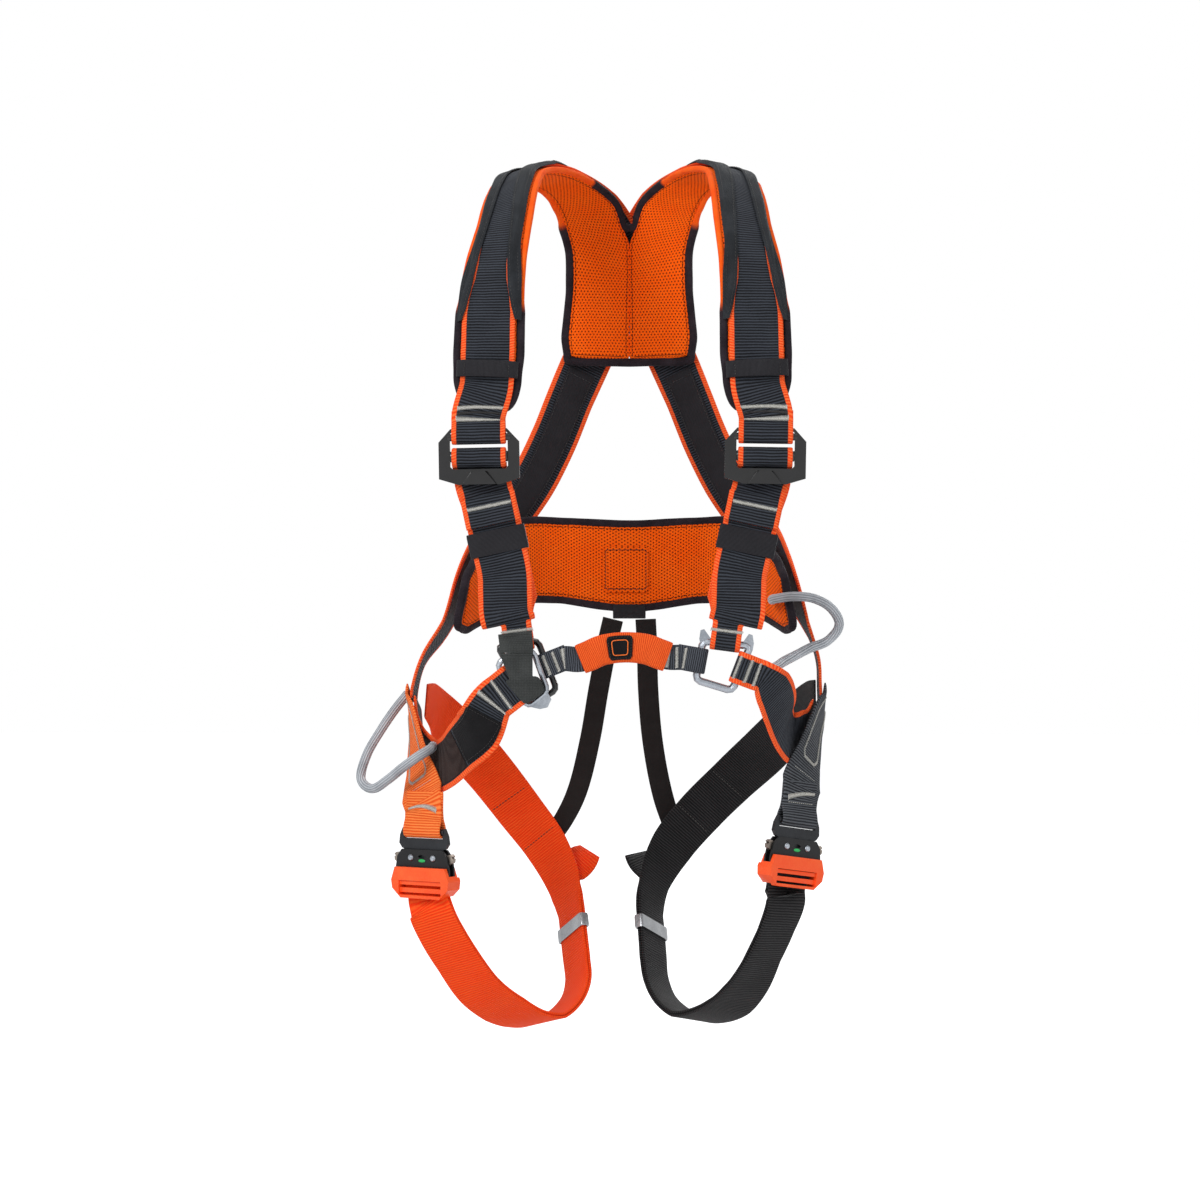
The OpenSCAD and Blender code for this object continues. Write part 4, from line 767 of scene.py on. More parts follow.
class Threads:
    """Stitching gathered into one piece."""

    def __init__(self):
        self.v, self.f = [], []

    def add(self, S, closed=False):
        V, F = rings(S, closed)
        o = sum(len(a) for a in self.v)
        self.v.append(V)
        self.f += [tuple(i + o for i in f) for f in F]

    def zigzag(self, web, s0, x0, x1, amp=1.6, pitch=0.95, r=0.37, face=1, s1=None):
        """A bartack across the web from x0 to x1 at s0, or leaning to s1."""
        n = int(abs(x1 - x0) / pitch * 2) + 1
        x = np.linspace(x0, x1, n)
        base = np.linspace(s0, s0 if s1 is None else s1, n)
        s = base + np.where(np.arange(n) % 2, amp, -amp)
        # the thread dips at each turn and stands up halfway
        q = np.arange(2 * n - 2) / 2
        xx, ss = np.interp(q, range(n), x), np.interp(q, range(n), s)
        P = web.side(web.on(ss, xx, np.where(np.arange(2 * n - 2) % 2, 0.42, 0.12), face))
        m = web.get(s0)[2][0]
        m = m * vec(-1, 1, 1) if web.mirror else m
        self.add(tube(P, r, m + vec(0.01, 0.02, 0.03), 5))

    def level(self, web, z, x0, x1, **k):
        """A bartack that lies level at a height, on the run nearest the camera."""
        s = outer_s(web, 2, z)
        q = np.linspace(s - 24, s + 24, 193)
        ends = [q[np.argmin(np.abs(web.on(q, q * 0 + x)[:, 2] - z) + np.abs(q - s) * 0.02)] for x in (x0, x1)]
        self.zigzag(web, ends[0], x0, x1, s1=ends[1], **k)

    def dashes(self, P, N, long=2.4, gap=1.1, r=0.3):
        """Running stitches along points, with the surface direction at each."""
        P, N = np.asarray(P, float), np.asarray(N, float)
        L = length(P)
        a = gap / 2
        while a + long < L[-1]:
            s = a + long * np.array([0.0, 0.12, 0.5, 0.88, 1.0])
            q, nn = at(s, L, P), units(at(s, L, N))
            q = q + nn * np.array([-0.15, 0.05, 0.2, 0.05, -0.15])[:, None]
            self.add(tube(q, r * np.array([0.35, 0.85, 1.0, 0.85, 0.35]), nn[2] + vec(0.013, 0.021, 0.017), 6))
            a += long + gap

    def line(self, web, pts, face=1, **k):
        """Running stitches through (s, x) points on a web."""
        pts = np.asarray(pts, float)
        L = length(pts)
        q = np.linspace(0, L[-1], max(3, int(L[-1] / 1.5)))
        s, x = np.interp(q, L, pts[:, 0]), np.interp(q, L, pts[:, 1])
        P = web.side(web.on(s, x, 0.12, face))
        N = web.side(web.get(s)[2] * face)
        self.dashes(P, N, **k)

    def border(self, web, inset, x, **k):
        """Running stitches round a patch."""
        end = web.S[-1] - inset
        self.line(web, [(inset, -x), (end, -x), (end, x), (inset, x), (inset, -x)], **k)

    def cord(self, web, pts, r, amp=0.0):
        """A close, continuous line of thread through (s, x) points on a web."""
        pts = np.asarray(pts, float)
        L = length(pts)
        n = max(3, int(L[-1] / 0.8))
        q = np.linspace(0, L[-1], n)
        s, x = np.interp(q, L, pts[:, 0]), np.interp(q, L, pts[:, 1])
        ds, dx = np.gradient(s), np.gradient(x)
        z = np.where(np.arange(n) % 2, amp, -amp)
        k = np.maximum(np.hypot(ds, dx), 1e-6)
        P = web.side(web.on(s - dx / k * z, x + ds / k * z, 0.25))
        self.add(tube(P, r, web.side(web.get(s[0])[2])[0] + vec(0.01, 0.02, 0.03), 5))

    def make(self, name, mat=None, body=ROOT, slot="sleeve"):
        return lay(name, np.concatenate(self.v), self.f, mat or M_THREAD, body, ())


def plate(name, P, y0, y1, mat, bevel, body, nodes):
    """A flat plate with eased edges: outline in X and Z, depth along Y."""
    bm = bmesh.new()
    vs = [bm.verts.new((p[0], y0, p[1])) for p in P]
    f = bm.faces.new(vs)
    out = bmesh.ops.extrude_face_region(bm, geom=[f])
    bmesh.ops.translate(bm, vec=(0, y1 - y0, 0), verts=[v for v in out["geom"] if isinstance(v, bmesh.types.BMVert)])
    bmesh.ops.recalc_face_normals(bm, faces=bm.faces)
    rims = [e for e in bm.edges if e.calc_face_angle(0) > 0.6]
    bmesh.ops.bevel(bm, geom=rims, offset=bevel, segments=3, profile=0.5, affect="EDGES")
    bm.verts.index_update()
    F = [tuple(v.index for v in f.verts) for f in bm.faces]
    co = np.array([v.co[:] for v in bm.verts])
    bm.free()
    return lay(name, co, F, mat, body, nodes, uv=co[:, [0, 2]], rim=np.full(len(co), 9.0), sharp=35)


def eased(P, r=4.0, k=5):
    """Points round a closed loop with its corners rounded."""
    out = []
    for i in range(len(P)):
        c = np.asarray(P[i], float)
        a, b = unit(np.asarray(P[i - 1]) - c), unit(np.asarray(P[(i + 1) % len(P)]) - c)
        p, q = c + a * r, c + b * r
        for j in range(k + 1):
            t = j / k
            out.append((1 - t) ** 2 * p + 2 * t * (1 - t) * c + t * t * q)
    return out


SIDES = {"left": False, "right": True}


# ---- stuffed pads ----
PAD_K = 36  # points round a pad
PAD_START = 0.66  # share of the foam's thickness before it swells
PAD_MORE = 2.4  # the cover runs this far under the edge tape


def pad(name, R, t, inset, seam, mat, node, slot, fine=5.0):
    R = [r.copy() for r in R]
    for i, j in ((0, 1), (-1, -2)):
        R[i][:3] += unit(R[i][:3] - R[j][:3]) * PAD_MORE
    w = Web(R, flat=True, fine=fine)
    P, U, M, L, S = w.P, w.U, w.M, w.W, w.S
    th = (np.arange(PAD_K) + 0.5) * 2 * math.pi / PAD_K
    X0 = np.sign(np.cos(th)) * np.abs(np.cos(th)) ** 0.5
    Y0 = np.sign(np.sin(th)) * np.abs(np.sin(th)) ** 0.5
    rr, UV, RIM, HOLD, OUT = [], [], [], [], []
    for i in range(w.n):
        k = min(1.0, max(0.0, (S[i] - seam) / 10)) if seam else 1.0
        s = -0.2 + (inset + 0.2) * k
        hw, c = (L[i] - inset - s) / 2, P[i] + U[i] * (inset - s) / 2
        d = min(S[i], S[-1] - S[i])
        b = t / 2 * math.sqrt(max(0.04, 1 - (1 - min(1, d / 7)) ** 2))
        rr.append(c + np.outer(X0 * hw, U[i]) + np.outer(Y0 * b * PAD_START, M[i]))
        UV.append(np.stack([X0 * hw, X0 * 0 + S[i]], 1))
        RIM.append(np.minimum(hw * (1 - np.abs(X0)), d))
        HOLD.append(np.where((np.abs(X0) > 0.97) | (d < 3), 1.0, 0.0))
        OUT.append(np.outer(Y0 * b * (1 - PAD_START), M[i]))
    V, F = rings(rr)
    o = lay(name, V, F, mat, None, (), np.concatenate(UV), np.concatenate(RIM), sharp=180)
    g = o.vertex_groups.new(name="hold")
    for i in np.nonzero(np.concatenate(HOLD))[0]:
        g.add([int(i)], 1.0, "REPLACE")
    return dict(o=o, base=V, full=np.concatenate(OUT), node=node, slot=slot, web=w)


SWELL_CAP = 1.6  # the most that the simulation may move a point, in mm
LAST_FRAME = 20
FOAM_SHARE, CLOTH_SHARE = 0.75, 0.6


def swell(pads):
    """The covers of the pads are blown up by cloth simulation, then held to the thickness of the foam."""
    for p in pads:
        md = p["o"].modifiers.new("swell", "CLOTH")
        st = md.settings
        st.quality, st.mass = 6, 0.3
        st.tension_stiffness = st.compression_stiffness = 12
        st.shear_stiffness, st.bending_stiffness = 5, 0.4
        st.use_pressure, st.uniform_pressure_force = True, 4
        st.effector_weights.gravity = 0
        st.vertex_group_mass = "hold"
        md.point_cache.frame_start, md.point_cache.frame_end = 1, LAST_FRAME
    for k in range(1, LAST_FRAME + 1):
        scene.frame_set(k)
    dg = bpy.context.evaluated_depsgraph_get()
    for p in pads:
        ev = p["o"].evaluated_get(dg).data
        co = np.zeros(len(ev.vertices) * 3)
        ev.vertices.foreach_get("co", co)
        move = co.reshape(-1, 3) / MM - p["base"]
        far = np.linalg.norm(move, axis=1, keepdims=True)
        p["move"] = move * np.minimum(1, SWELL_CAP / np.maximum(far, 1e-6))
    for p in pads:
        p["o"].modifiers.clear()
    scene.frame_set(1)
    for p in pads:
        # the foam under the cover gives its thickness, the simulation its fullness and small creases
        move = p.get("move", p["full"] * 0.5)
        p["co"] = p["base"] + p["full"] * FOAM_SHARE + move * CLOTH_SHARE


def finish_pad(p, grooves=(), mirror_name=None, mirror_node=None):
    """grooves: (distance of each point from the line in mm, depth, width, face 1 or -1)."""
    o, w = p["o"], p["web"]
    co = p["co"]
    N = np.repeat(w.M, PAD_K, axis=0)
    inner = np.sign(np.einsum("ij,ij->i", p["full"], N))
    for dist, depth, wide, faces in grooves:
        d = dist(p["base"])
        k = depth * np.exp(-(d / wide) ** 2)
        k = np.where((inner > 0) if faces == 1 else (inner < 0) if faces == -1 else True, k, 0)
        co = co - N * (inner * k)[:, None]
    o.data.vertices.foreach_set("co", (co * MM).ravel())
    o.data.update()
    out = [(o, p["node"])]
    if mirror_name:
        c = o.data.copy()
        c.name = mirror_name
        c.vertices.foreach_set("co", (co * vec(-1, 1, 1) * MM).ravel())
        c.flip_normals()
        q = bpy.data.objects.new(mirror_name, c)
        scene.collection.objects.link(q)
        out.append((q, mirror_node))
    for q, node in out:
        q.modifiers.new("round", "SUBSURF").levels = 1
        q.modifiers["round"].render_levels = 1
        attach(q, ROOT)
        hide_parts(node)


neck = length(np.array([r[:3] for r in yoke]))[11]
yp = pad("yoke_pad_left_cover", yoke_rows, YOKE_T, BIND * 0.5, neck, M_MESH, "yoke_pad_left", "shoulder_mesh")
bp = pad("belt_pad_cover", belt_rows, BELT_T, BIND * 0.5, 0, M_MESH, "belt_pad", "belt_mesh", fine=6.0)
swell([yp, bp])
FAR = 99


def low_line(v):
    return np.where(v[:, 1] > 60, v[:, 2] + 119 - 0.0035 * v[:, 0] ** 2, FAR)


def neck_line(v):
    return np.where((v[:, 1] > 88) & (v[:, 2] > -60), (v[:, 0] + 44) * 0.8 + (v[:, 2] + 22) * 0.6, FAR)


def patch_lines(v):
    return np.where(np.abs(v[:, 0]) < 40, np.abs(np.abs(v[:, 0]) - 31), FAR)


finish_pad(yp, [(low_line, 1.3, 2.2, -1), (neck_line, 1.1, 2.4, -1)], "yoke_pad_right_cover", "yoke_pad_right")
finish_pad(bp, [(patch_lines, 1.0, 2.5, -1)])


# ---- rolled edges ----
def edge(R, s, inset, a, b):
    """The rim of a sheet from row a to row b, on side s, inset from its edge."""
    rim = [r[:3] + unit(r[3:6]) * (np.linalg.norm(r[3:6]) / 2 - inset) * s for r in R[a:b + 1]]
    return [np.concatenate([r, [0, 0, 0, 1]]) for r in rim]


def rolled(name, pts, R, tone, node, mirror=False):
    """Edge tape folded over the rim: a flat-sided roll that follows the faces of the pad."""
    D = dense([np.concatenate([p[:3], [0, 0, 0, 1]]) for p in pts], 3.0, 80)
    P = np.array([r[:3] for r in D])
    ref = Web(R, flat=True, fine=6)
    k = np.argmin(np.linalg.norm(P[:, None, :] - ref.P[None], axis=2), axis=1)
    M = units(ref.M[k] + 1e-6)
    L = length(P)
    dark = tone(P)
    fold = 0.25 * np.sin(L / 9.0) + 0.15 * np.sin(L / 4.1 + 1)
    r = BIND / 2 * (1.12 * dark + 0.82 * (1 - dark)) + fold * 0.25
    tt = units(np.gradient(P, axis=0))
    u = units(np.cross(M, tt))
    m = units(np.cross(tt, u))
    kk = 16
    th = np.arange(kk) * 2 * math.pi / kk
    cx = np.sign(np.cos(th)) * np.abs(np.cos(th)) ** 0.7
    cy = np.sign(np.sin(th)) * np.abs(np.sin(th)) ** 0.7
    S = [P[i] + (np.outer(cx * 1.08, u[i]) + np.outer(cy * 1.02, m[i])) * r[i] for i in range(len(P))]
    V, F = rings(S)
    if mirror:
        V = V * vec(-1, 1, 1)
    marks = {"tone": np.repeat(dark, kk), "run": np.repeat(L, kk)}
    return lay(name, V, F, M_EDGE, ROOT, (node,), extra=marks, sharp=180)


n = len(yoke) - 1
inset = BIND * 0.2
throat = [r for r in edge(yoke, 1, inset, 10, n) if r[0] < -3.4]
throat = [throat[0] * vec(0, 1, 1, 1, 1, 1, 1) + vec(0.3, 0, -1, 0, 0, 0, 0)] + throat
path = (rows([0.3, 102.1, -144, 0, 0, 0], [-28, 101, -143.4, 0, 0, 0], [-52, 99.8, -142.8, 0, 0, 0],
             [-56.8, 99, -141, 0, 0, 0])
        + edge(yoke, -1, inset, 0, n)
        + rows([-126, -120.4, -200.6, 0, 0, 0], [-112, -121, -202, 0, 0, 0], [-98, -121.8, -202.8, 0, 0, 0])
        + throat[::-1])


def smooth(v, lo, hi):
    k = np.clip((v - lo) / (hi - lo), 0, 1)
    return k * k * (3 - 2 * k)


def yoke_tone(P):
    """1 where black tape shows, 0 where the edge is the orange mesh turned over."""
    back = (P[:, 1] > 60) * smooth(-P[:, 2], 18, 24)
    throat = (P[:, 1] > 60) * (P[:, 0] > -32)
    front = (P[:, 1] < -60) * smooth(-P[:, 2], 112, 124)
    return np.clip(back + throat + front, 0, 1).astype(float)


for q, mir in SIDES.items():
    rolled("yoke_edge_" + q, path, yoke_rows, yoke_tone, "yoke_binding_" + q, mir)
n = len(belt) - 1
m_ = n // 2
tip = [vec(144.2, -43.4, -382), vec(141, -40.2, -363), vec(137.4, -36.2, -343)]
ring = (edge(belt, 1, inset, m_, n) + rows(*[list(t) + [0, 0, 0] for t in tip]) + edge(belt, -1, inset, 0, n)[::-1]
        + rows(*[[-t[0], t[1], t[2], 0, 0, 0] for t in tip[::-1]]) + edge(belt, 1, inset, 0, m_ - 1))
rolled("belt_edge", ring, belt_rows, lambda P: np.ones(len(P)), "belt_binding")

# ---- shoulder webs, covers and their keepers ----
GATHERED = 0.74  # share of its width that the web keeps under the cover


def gather(v, lo, hi):
    return GATHERED + (1 - GATHERED) * float(smooth(v, lo, hi))


def taper(R):
    """The web is gathered under the cover on top of the shoulder."""
    out = [r.copy() for r in R]
    for r in out:
        if r[1] < 60:
            r[6] = gather(-r[2], 84, 122) if r[1] < 30 and r[2] < 60 else GATHERED
        if 20 < r[1] < 100 and r[2] > -8:
            r[6] = gather(r[1], 50, 98)
    return out


silver, dark = Threads(), Threads()
shoulder = {}
for q, hip, h, mir, other in (("left", hip_right, 0, False, "right"), ("right", hip_left, LAYER, True, "left")):
    base = side_rows + hip
    R = base[::-1] + raised_cross(h)[::-1] + taper(over_pad) + web_down
    w = shoulder[q] = Web(R, WEB, T, mirror=mir)
    w.make("shoulder_web_" + q + "_weave", M_WEB, "shoulder_web_" + q, "black_web")
    inner = Web([r for r in lifted(dense(R, 6, 40), -HALF - 1.1) if r[1] > 70 and -296 < r[2] < -150], 26, 1.5,
                mirror=mir)
    inner.make("back_band_" + other + "_tape", M_KEEPER, "back_band_" + other, "elastic")
    for k in (0, 1):
        e = inner.S[-1] * (0.04 if k else 0.96)
        dark.line(inner, [(e, -11), (e, 11)], face=-1, long=2.0)
    for x in (-11.5, 11.5):
        dark.line(inner, [(inner.S[-1] * 0.03, x), (inner.S[-1] * 0.97, x)], face=-1, long=2.2)

for q in SIDES:
    w = shoulder[q]
    for z in (-203, -212.5):
        silver.level(w, z, -18.5, 18.5)
    dark.level(w, -207.7, -18, 18, amp=1.0, r=0.3)

# half width of the open slot between the two cover flaps, by height
SLOT_Z = [-131, -122, -104, -62, -14, 20]
SLOT_X = [23, 20, 16, 11.5, 7.5, 5.5]
for q, mir in SIDES.items():
    w = Web(yoke_rows[6:15], flat=True, fine=3.5, mirror=mir)
    keep = [i for i in range(w.n) if w.S[i] > 24 and w.P[i, 2] > -132]
    for part_, sg in (("a", -1), ("b", 1)):
        S, UV, RIM, line_in, line_out, NN = [], [], [], [], [], []
        for i in keep:
            z = w.P[i, 2]
            outer = w.W[i] * (0.42 + 0.075 * float(smooth(-z, 60, 100)))
            inner_x = min(float(np.interp(z, SLOT_Z, SLOT_X)) if w.P[i, 1] < 30 else 5.5, outer - 0.8)
            webhalf = WEB / 2 * gather(-z, 84, 122)
            x = np.linspace(inner_x, outer, 8)
            rise = CREST * (w.P[i, 1] > 10)
            hh = ON_WEB + 0.5 + rise - 3.2 * smooth(x, webhalf + 0.5, webhalf + 4) - 0.4 * smooth(x, outer - 2, outer)
            hh = hh + 0.25 * np.sin(w.S[i] / 8.0 + x / 6) * smooth(x, inner_x, inner_x + 4)
            top, bot = hh + COVER / 2, hh - COVER / 2
            X = np.concatenate([x, x[-1:] + 0.5, x[::-1], x[:1] - 0.5]) * sg
            Y = np.concatenate([top, (top[-1:] + bot[-1:]) / 2, bot[::-1], (top[:1] + bot[:1]) / 2])
            S.append(w.P[i] + np.outer(X, w.U[i]) + np.outer(Y, w.M[i]))
            UV.append(np.stack([X, X * 0 + w.S[i]], 1))
            if outer - inner_x > 5:
                line_in.append(w.P[i] + w.U[i] * (inner_x + 1.8) * sg + w.M[i] * (top[1] + 0.05))
                line_out.append(w.P[i] + w.U[i] * (outer - 2.2) * sg + w.M[i] * (top[-2] + 0.05))
                NN.append(w.M[i])
        V, F = rings(S)
        cover = "shoulder_cover_" + q
        lay(cover + "_" + part_, w.side(V), F, M_COVER, ROOT, (cover,), np.concatenate(UV))
        for ln in (line_in, line_out):
            dark.dashes(w.side(np.array(ln)), w.side(np.array(NN)), long=2.3, gap=1.0, r=0.26)
    i = next(i for i, r in enumerate(yoke_over) if r[2] < -158)
    c, u, nn = yoke_over[i][:3], unit(yoke_over[i][3:6]), face(yoke_over, i)
    hh, low_h = ON_PAD + T / 2 + GAP + COVER / 2, YOKE_T / 2 + COVER
    turns = ((-25.6, low_h, -1), (-23.8, hh, -0.3), (23.8, hh, 0.3), (25.6, low_h, 1))
    k = Web(rows(*[[*(c + u * a + nn * b), *(nn + u * lean)] for a, b, lean in turns]), 14, COVER, fine=1.6,
            mirror=mir)
    k.make("shoulder_keeper_" + q + "_elastic", M_KEEPER, "shoulder_keeper_" + q, "elastic")
    mid = k.S[-1] / 2
    for d in (-18.5, 18.5):
        dark.line(k, [(mid + d, -5.5), (mid + d, 5.5)], long=1.6, gap=0.7, r=0.32)
dark.make("black_stitching_yoke", M_DARK_THREAD, slot="binding")

# ---- chest straps ----
for q, mir in SIDES.items():
    w = Web(chest_rows, WEB, T, mirror=mir, fine=2.6)
    w.make("chest_strap_" + q + "_weave", M_WEB, "chest_strap_" + q, "black_web")
    t_ = Web(tail_rows, WEB + 1, TAIL_T, mirror=mir)
    t_.make("chest_tail_" + q + "_weave", M_WEB, "chest_tail_" + q, "black_web")
    silver.zigzag(t_, t_.S[-1] * 0.36, -18.5, 18.5)
    h = (TURN_H + MAIN_H) / 2
    k = Web(lows([62, h, 0, 1], [72, h, 0, 1], [82, h, 0, 1]), WEB + 1.6, TURN_H - MAIN_H + T + 2 * GAP + 0.2,
            mirror=mir)
    keeper = "chest_keeper_" + q
    k.sleeve(keeper + "_elastic", M_KEEPER, COVER, keeper, "elastic", 2.2, keeper)
    s = outer_s(w, 2, -388)
    silver.zigzag(w, s, -13.5, 13.5, face=front(w, s))

# ---- links ----
b = Web(bridge_rows, 21, T, fine=2.6)
b.make("bridge_web_weave", M_BRIDGE, "bridge_web", "black_web")
mid = [r for r in dense(bridge_rows, 14) if abs(r[0] - 1) < 42 and r[1] < -129.5]
sl = Web(mid, 21 + 0.9, T + 0.8, fine=2.4)
sl.sleeve("bridge_sleeve_weave", M_SLEEVE, 1.6, "bridge_sleeve", "orange_web", 2.8, puff=0.8)
for x in (-62, -55, -48, 38, 45, 52):
    s = outer_s(b, 0, x)
    silver.zigzag(b, s, -8.6, 8.6, amp=1.4, face=front(b, s))
wl, wr = Web(waist_left_rows, WEB, T), Web(waist_right_rows, WEB, T)
for q, w, bars in (("left", wl, ((-99, 1.6), (-107, 1.6))), ("right", wr, ((96, 1.1), (104, 1.5), (111.5, 1.5)))):
    w.make("waist_strap_" + q + "_weave", M_WEB, "waist_strap_" + q, "black_web")
    for x, a in bars:
        s = outer_s(w, 0, x)
        half = w.get(s)[3][0] / 2 - 3.5
        silver.zigzag(w, s, -half, half, amp=a)

# smooth padding between the label and the leg strap
q0, q1 = outer_s(wl, 0, -136), outer_s(wl, 0, -166)
pw = Web(wl.cut(q0, q1, T / 2 + 0.35), 35, 0.7)
pw.make("waist_padding_left", M_PADDING, None, "black_fabric")

# bare label on the left waist strap, without any print
s0, s1 = outer_s(wl, 0, -112.5), outer_s(wl, 0, -134)
lab = Web(wl.cut(s0, s1, T / 2 + 4 * GAP + 0.7), 34, 1.4)
lab.soften(3)
lab.make("waist_label_bare", M_PATCH, "waist_label", "black_fabric")
dark = Threads()
dark.border(lab, 1.6, 15, long=1.8, gap=0.8, r=0.24)

# patch on the bridge: a plain outlined square
pc = Web(sl.cut(outer_s(sl, 0, -11), outer_s(sl, 0, 9), (T + 0.8) / 2 + 1.6 + 1.4), 20, COVER, fine=1.5)
pc.soften(3)
pc.make("bridge_patch_cloth", M_PATCH, "bridge_patch", "black_fabric")
pl = pc.S[-1]
square = eased([(pl * 0.19, -6.2), (pl * 0.81, -6.2), (pl * 0.81, 6.2), (pl * 0.19, 6.2)], 2.6, 6)
outline = Threads()
outline.cord(pc, square + square[:1], r=0.42)
outline.make("bridge_patch_outline", M_ORANGE_THREAD, slot="orange_web")
dark.border(pc, 1.3, 8.6, long=1.5, gap=0.8, r=0.22)

# flap over the left link
HEM_Z = -406.9
flap = [(-100, HEM_Z), (-73, HEM_Z)] + eased([(-68, -424), (-62, -437), (-79, -449), (-97, -428)], 5, 4)
plate("link_flap_sheet", flap, FLAP_Y - 0.8, FLAP_Y + 0.8, M_LEATHER, 0.4, "link_flap", ("link_flap",))
hem = tube(np.array([vec(-99.6 + k * 26.2 / 8, FLAP_Y, HEM_Z) for k in range(9)]), 1.2, (0, 1, 0), 14)
V, F = rings(hem)
lay("link_flap_hem", V, F, M_LEATHER, "link_flap", ("link_flap",))
fh = Web(rows([-86.5, FLAP_Y, -405.6, 0, -1, 0], [-86.5, FLAP_Y + 0.6, -399, 0, -1, 0], [-88, -137, -389, 0, -0.8,
        0.5]), 28, 1.6)
fh.make("flap_head_sheet", M_LEATHER, "flap_head", "black_fabric")
dark.line(fh, [(fh.S[-1] - 3, -11), (fh.S[-1] - 3, 11)], long=1.6, gap=0.8, r=0.28)

# ---- risers, belt trim ----
for q, R in (("left", riser_left_rows), ("right", riser_right_rows)):
    Web(R, 19, 2).make("riser_" + q + "_elastic", M_ELASTIC, "riser_" + q, "elastic")
tab = Web(rows([0, 100, -366, 0, -1, 0], [0, 100.2, -374, 0, -1, 0], [0, 104, -378.5, 0, 0, -1], [0, 107.2, -374, 0,
        1, 0],
               [0, 109.4, -366, 0, 1, 0]), 30, 1.2, fine=1.6)
tab.make("belt_tab_tape", M_KEEPER, "belt_tab", "black_fabric")
bpw = Web(rows(*[[x, 104 - abs(x) / 24, -334, 0, 0, -42] for x in (-24, -3, 18)]), flat=True, t=COVER, fine=3)
bpw.P = bpw.P - bpw.M * ((BELT_T + COVER) / 2 + GAP)
bpw.soften(4)
bpw.make("belt_patch_mesh", M_MESH, "belt_patch", "belt_mesh")
dark.border(bpw, 2.2, 18, face=-1, long=2, gap=1, r=0.28)

# ---- leg webs ----
def outer_tail(R, tp):
    """The spare end of a leg web, outside its first run."""
    return tp + lifted(R[:14], LAYER + 0.1)[::-1]


BAR_EYE = 2.5 + GAP + T / 2


def wrap(q):
    """The leg web's turn through the lower slot of the buckle."""
    return seat(narrow(eye((0, 3.6, -22), unit(vec(0, 0.06, -1)), (0, -1, 0), BAR_EYE, 14, 14, HALF), 0.94),
                *BUCKLE[q])


def stub_eye(q):
    """The stub's turn through the tongue's slot."""
    return seat(narrow(eye((0, 0, 22), (0, 0, 1), (0, -1, 0), BAR_EYE, 20, 34, HALF), 0.88), *BUCKLE[q])


LEGS = {
    # rows of leg web and stub, their cloth, slot and seam thread, level bars, single lines, and ends of the U seam
    "left": (leg_l, stub_l, M_ORANGE, M_PALE, "orange_web", M_DARK_THREAD, (-530, -539.5), (-521,), (-455, -515)),
    "right": (leg_r, stub_r, M_BLACK, M_GREY, "black_web", M_GREY_THREAD, (-518, -528), (-510, -534), (-452, -499)),
}


for q, (R, S_, mat, stub_mat, slot, seam, bars, lines, (top, foot)) in LEGS.items():
    w = Web(outer_tail(R, tips[q]) + wrap(q) + R, WEB, T, fine=3.0)
    w.make("leg_web_" + q + "_weave", mat, "leg_web_" + q, slot)
    s = Web(S_ + stub_eye(q), WEB, T, fine=2.6)
    s.make("leg_stub_" + q + "_weave", stub_mat, "leg_stub_" + q, slot)
    for z in bars:
        silver.level(s, z, -15.5, 15.5, amp=1.5)
    a0, a1 = outer_s(s, 2, top), outer_s(s, 2, foot)
    silver.cord(s, [(a0, -13), (a1 - 5, -13.5), (a1, -9), (a1, 9), (a1 - 5, 13.5), (a0, 13)], r=0.6, amp=0.9)
    for z in lines:
        e = outer_s(s, 2, z)
        silver.line(s, [(e, -15), (e, 15)], long=1.5, gap=0.9, r=0.28)
    # stitching of the strap end and where the riser joins
    silver.zigzag(w, 8.5, -17, 17, amp=1.4)
    silver.zigzag(w, 13, -17, 17, amp=1.1)
    joins = Threads()
    for d in (214, 168):
        joins.line(w, [(w.S[-1] - d, -20), (w.S[-1] - d, 20)], face=-1, long=2.2, gap=1.2)
    joins.make("black_stitching_leg_" + q, seam, slot="binding")
    i = 11
    t_ = unit(R[i + 1][:3] - R[i - 1][:3])
    u_ = unit(np.cross(R[i][3:6], t_))
    n_ = unit(np.cross(t_, u_))
    cc = R[i][:3] + n_ * (LAYER + 0.1) / 2
    k = Web(rows(*[[*(cc + t_ * d), *n_] for d in (-6, 0, 6)]), WEB + 1.8, 6.6, fine=2)
    keeper = "leg_keeper_" + q
    k.sleeve(keeper + "_loop", M_KEEPER_METAL, 1.1, keeper, "keeper_metal", 2.2, keeper)
silver.make("silver_stitching")
dark.make("black_stitching_trim", M_DARK_THREAD, slot="binding")


# ---- gear loops: ribbed tube ----
for q, G_, ref in (("left", gear_l, (0.3, 1, 0.2)), ("right", gear_r, (0.2, 1, 0.9))):
    P = np.array([r[:3] for r in dense(G_, 2.5, 80)])
    S = tube(P, 4.0, ref, 48, ridges=12, depth=0.035)
    V, F = rings(S)
    th = np.arange(48) * 2 * math.pi / 48 * 4.0
    UV = np.concatenate([np.stack([th, th * 0 + l], 1) for l in length(P)])
    lay("gear_loop_" + q + "_tube", V, F, M_TUBE, ROOT, ("gear_loop_" + q,), UV)


# ---- rigid parts ----
def dress(node, mat, ease=0.5, seg=2):
    o = frame["nodes"][node]
    o.data.materials.clear()
    o.data.materials.append(mat)
    wd = o.modifiers.new("weld", "WELD")
    wd.merge_threshold = 0.00002
    if ease:
        bv = o.modifiers.new("ease", "BEVEL")
        bv.width, bv.segments, bv.limit_method, bv.angle_limit = ease * MM, seg, "ANGLE", math.radians(32)
        bv.harden_normals = False
    return o


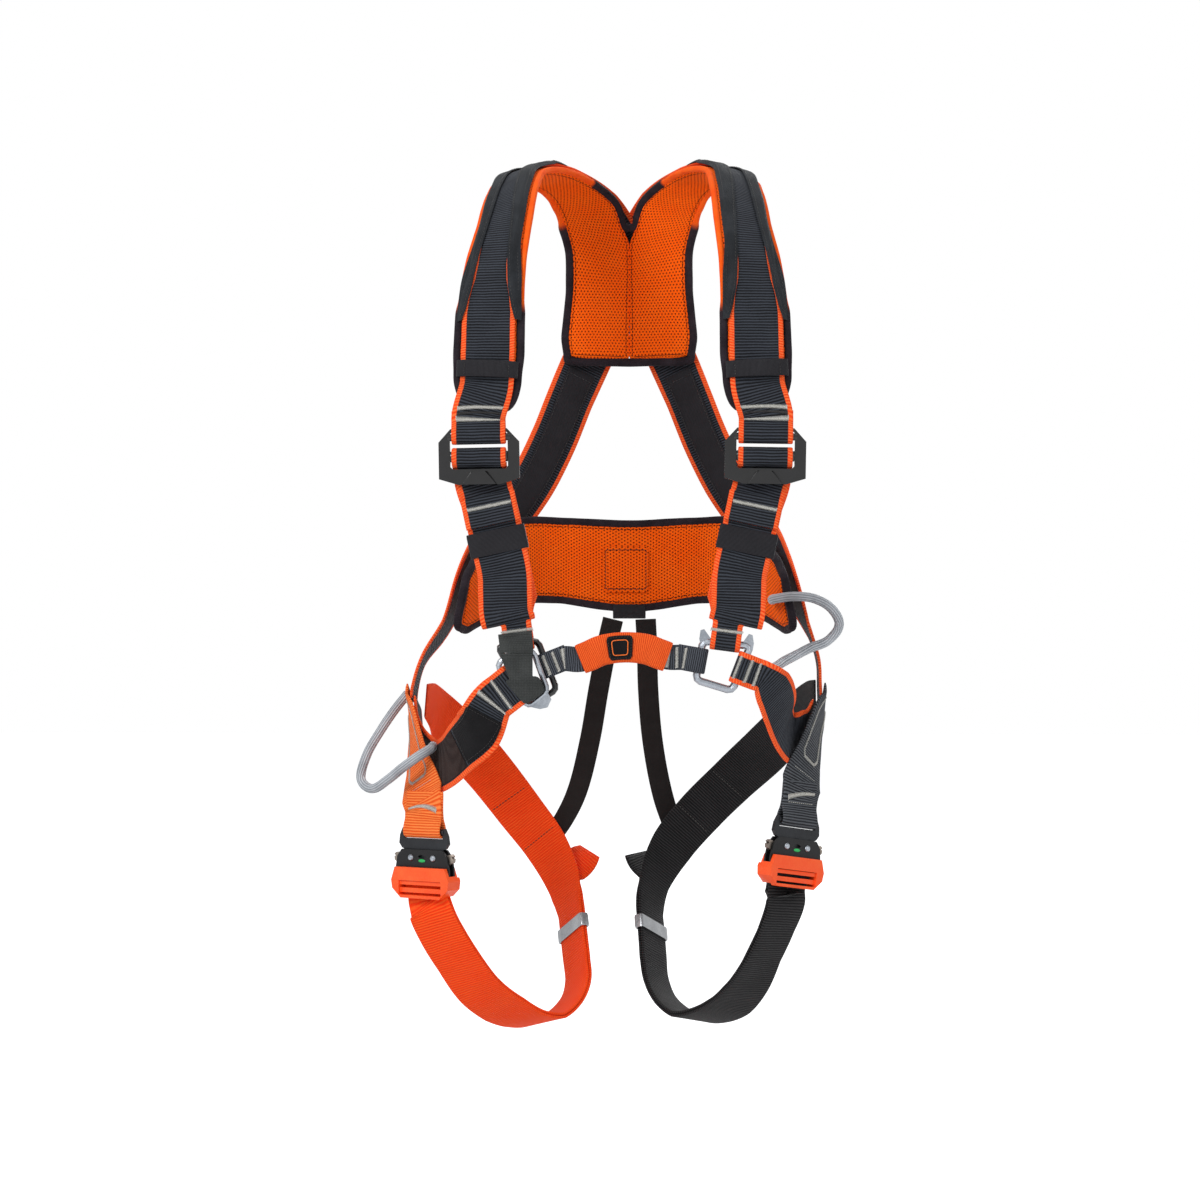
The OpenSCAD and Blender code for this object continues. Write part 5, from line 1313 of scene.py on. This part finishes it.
for q in SIDES:
    for node, mat, ease, seg in (("adjuster_" + q, M_GLOSS, 0.7, 3), ("adjuster_bar_" + q, M_GLOSS, 0.3, 2),
                                 ("dlink_" + q, M_SATIN, 0.7, 3), ("buckle_body_" + q, M_PLASTIC, 0.35, 2),
                                 ("buckle_frame_" + q, M_FRAME, 0.7, 3), (f"lever_{q}_outer", M_STEEL_DARK, 0.3, 2),
                                 (f"lever_{q}_inner", M_STEEL_DARK, 0.3, 2)):
        dress(node, mat, ease, seg)
dress("dorsal_plate", M_PLASTIC, 0.8, 3)
dress("dorsal_ring", M_SILVER, 0)
dress("link_ring_left", M_GLOSS, 0)
dress("link_hook_left", M_SILVER, 0.3)
dress("link_ring_right", M_SILVER, 0.4)

RIVET_Y = -(2.3 + 1.8)
RIVET = [(2.9, 0.0), (2.9, -0.3), (2.6, -0.85), (1.9, -1.3), (1.0, -1.5), (0.25, -1.42)]
LIGHT = [(1.0, 0.1), (1.0, -0.25), (0.8, -0.5), (0.4, -0.6)]


def knob(name, q, prof, n, x, z, rx, rz_, mat):
    """A low button on a buckle's front: radius and depth pairs, round or oval."""
    o, yaw, roll = BUCKLE[q]
    th = np.arange(n) * 2 * math.pi / n
    S = []
    for r, d in prof:
        ring_ = [vec(x + rx * r * math.cos(a), RIVET_Y + d, z + rz_ * r * math.sin(a)) for a in th]
        S.append(np.array([o + rz(ry(p, roll), yaw) for p in ring_]))
    V, F = rings(S)
    lay(name, V, F, mat, ROOT, (), sharp=60)


for q in SIDES:
    for sx, end in ((-12, "_a"), (12, "_b")):
        knob("rivet_" + q + end, q, RIVET, 20, sx, 0, 1, 1, M_SILVER)
    knob("indicator_" + q, q, LIGHT, 24, 0, -2.4, 3.6, 1.4, M_GREEN)

# ---- floor ----
fl = Mat("floor")
lit = fl.t.nodes.new("ShaderNodeLightPath")
fl.b.inputs["Base Color"].default_value = (0.78, 0.78, 0.78, 1)
fl.b.inputs["Roughness"].default_value = 0.9
fl.b.inputs["Emission Color"].default_value = (1, 1, 1, 1)
seen = fl.f("MAXIMUM", lit.outputs["Is Camera Ray"], fl.f("MAXIMUM", lit.outputs["Is Glossy Ray"],
                                                          lit.outputs["Is Transmission Ray"]))
fl.put(fl.b.inputs["Emission Strength"], fl.f("MULTIPLY", seen, 0.6))
me = bpy.data.meshes.new("floor")
g = 6.0
me.from_pydata([(-g, -g, -0.8), (g, -g, -0.8), (g, g, -0.8), (-g, g, -0.8)], [], [(0, 1, 2, 3)])
me.materials.append(fl.m)
floor = bpy.data.objects.new("floor", me)
scene.collection.objects.link(floor)
